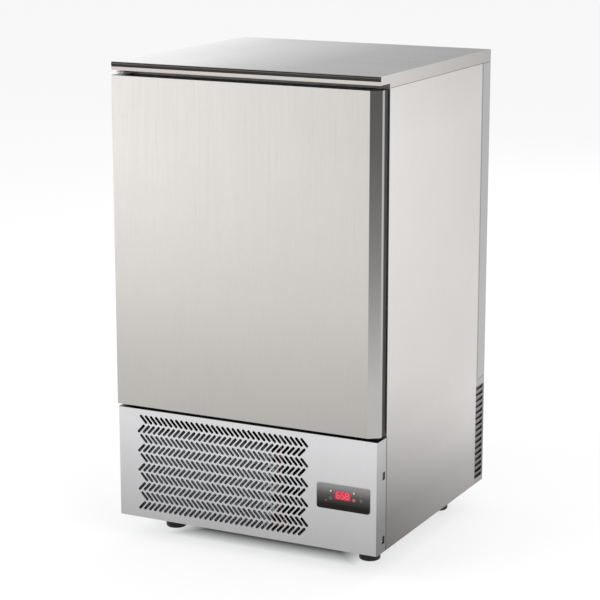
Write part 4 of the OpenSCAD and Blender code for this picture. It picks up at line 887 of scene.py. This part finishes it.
low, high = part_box("door_skin")
bevel_width = 0.0266
bevel_x = high.x - bevel_width
# The skin's greys are painted, lighter towards the top and towards the left: painted reflection and
# shade.
door_left = [(low.z, 0.478), (0.50, 0.535), (0.70, 0.646), (0.90, 0.747), (1.05, 0.792), (high.z, 0.768)]
door_right = [(low.z, 0.435), (0.50, 0.495), (0.70, 0.594), (0.90, 0.630), (1.05, 0.641), (high.z, 0.616)]
bevel_line = (bevel_x - 0.0004, bevel_x + 0.0004)
# The bevel is painted lightest near the foot of the door and darkest at its top: a painted reflection
bevel_tones = [(low.z, 0.45), (0.50, 0.46), (0.60, 0.39), (0.70, 0.305), (0.80, 0.23),
               (0.90, 0.18), (1.00, 0.14), (1.10, 0.11), (high.z, 0.085)]
# The side fold is painted light in front and dark where it turns in over the black profile: a painted
# reflection
side_fold = (high.x - 0.0012, high.x - 0.0004)
side_tones = [(low.y, 0.47), (high.y - 0.0062, 0.47), (high.y - 0.0050, 0.05), (high.y, 0.04)]
# The top fold is painted nearly black: painted shade in the gap under the worktop.
top_fold = (high.z - 0.0008, high.z - 0.0002)
top_tones = [(low.x, 0.03), (high.x, 0.03)]
door_steel = steel_finish(
    "door_steel", "Z", door_left, door_right, ("X", low.x, bevel_x), tint=(1, 0.962, 0.925),
    marks=[("X", *bevel_line, "Z", bevel_tones, (1, 0.985, 0.96)),
           ("X", *side_fold, "Y", side_tones, (1, 0.98, 0.96)),
           ("Z", *top_fold, "X", top_tones, (1, 1, 1))])
dress(door_steel, "door_skin")
dress(chamber_steel, "door_liner")

gasket_grey = black_plastic_finish("gasket_grey", (0.055, 0.055, 0.058), 0.6, 500)
low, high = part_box("door_gasket")
barb_depth = 0.0066
face_y = high.y
base_y = low.y + barb_depth
# Half-round magnet sleeve over two bellows folds, as (inwards from the outer edge, depth)
folds = [(0.0, base_y + 0.0004), (0.0018, base_y + 0.0028), (0.0004, base_y + 0.0052),
         (0.0022, base_y + 0.0074), (0.0030, face_y - 0.0012), (0.0046, face_y - 0.0002),
         (0.0174, face_y - 0.0002), (0.0190, face_y - 0.0012), (0.0198, base_y + 0.0074),
         (0.0216, base_y + 0.0052), (0.0202, base_y + 0.0028), (0.0220, base_y + 0.0004),
         (0.0130, base_y), (0.0130, low.y + 0.001), (0.0110, low.y), (0.0090, low.y + 0.001),
         (0.0090, base_y)]
gasket = bmesh.new()
corners = ((1, 1), (-1, 1), (-1, -1), (1, -1))
half_w, half_h = (high.x - low.x) / 2, (high.z - low.z) / 2
middle = (low + high) / 2
loops = []
for side_x, side_z in corners:
    loops.append([gasket.verts.new((middle.x + side_x * (half_w - inward), y,
                                    middle.z + side_z * (half_h - inward))) for inward, y in folds])
for i in range(4):
    here, there = loops[i], loops[(i + 1) % 4]
    for s in range(len(folds)):
        t = (s + 1) % len(folds)
        gasket.faces.new((here[s], here[t], there[t], there[s]))
gasket_piece = add_piece("door_gasket_bellows", gasket, gasket_grey, "door")
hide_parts("door_gasket")


# ---------- Hinges and screws ----------
# Zinc-plated brackets hold the door's two pins, and dome-headed screws fix the service
# panel to the folds of the side panels.

# The brackets' steel is painted a little lighter towards the top: painted light.
bracket_steel = steel_finish("bracket_steel", "Z", [(0.3, 0.42), (1.3, 0.46)], grain=(120, 120, 120),
                             tint=(1, 1, 1), rough=0.36)
dress(bracket_steel, "hinge_brackets", "panel_screws")
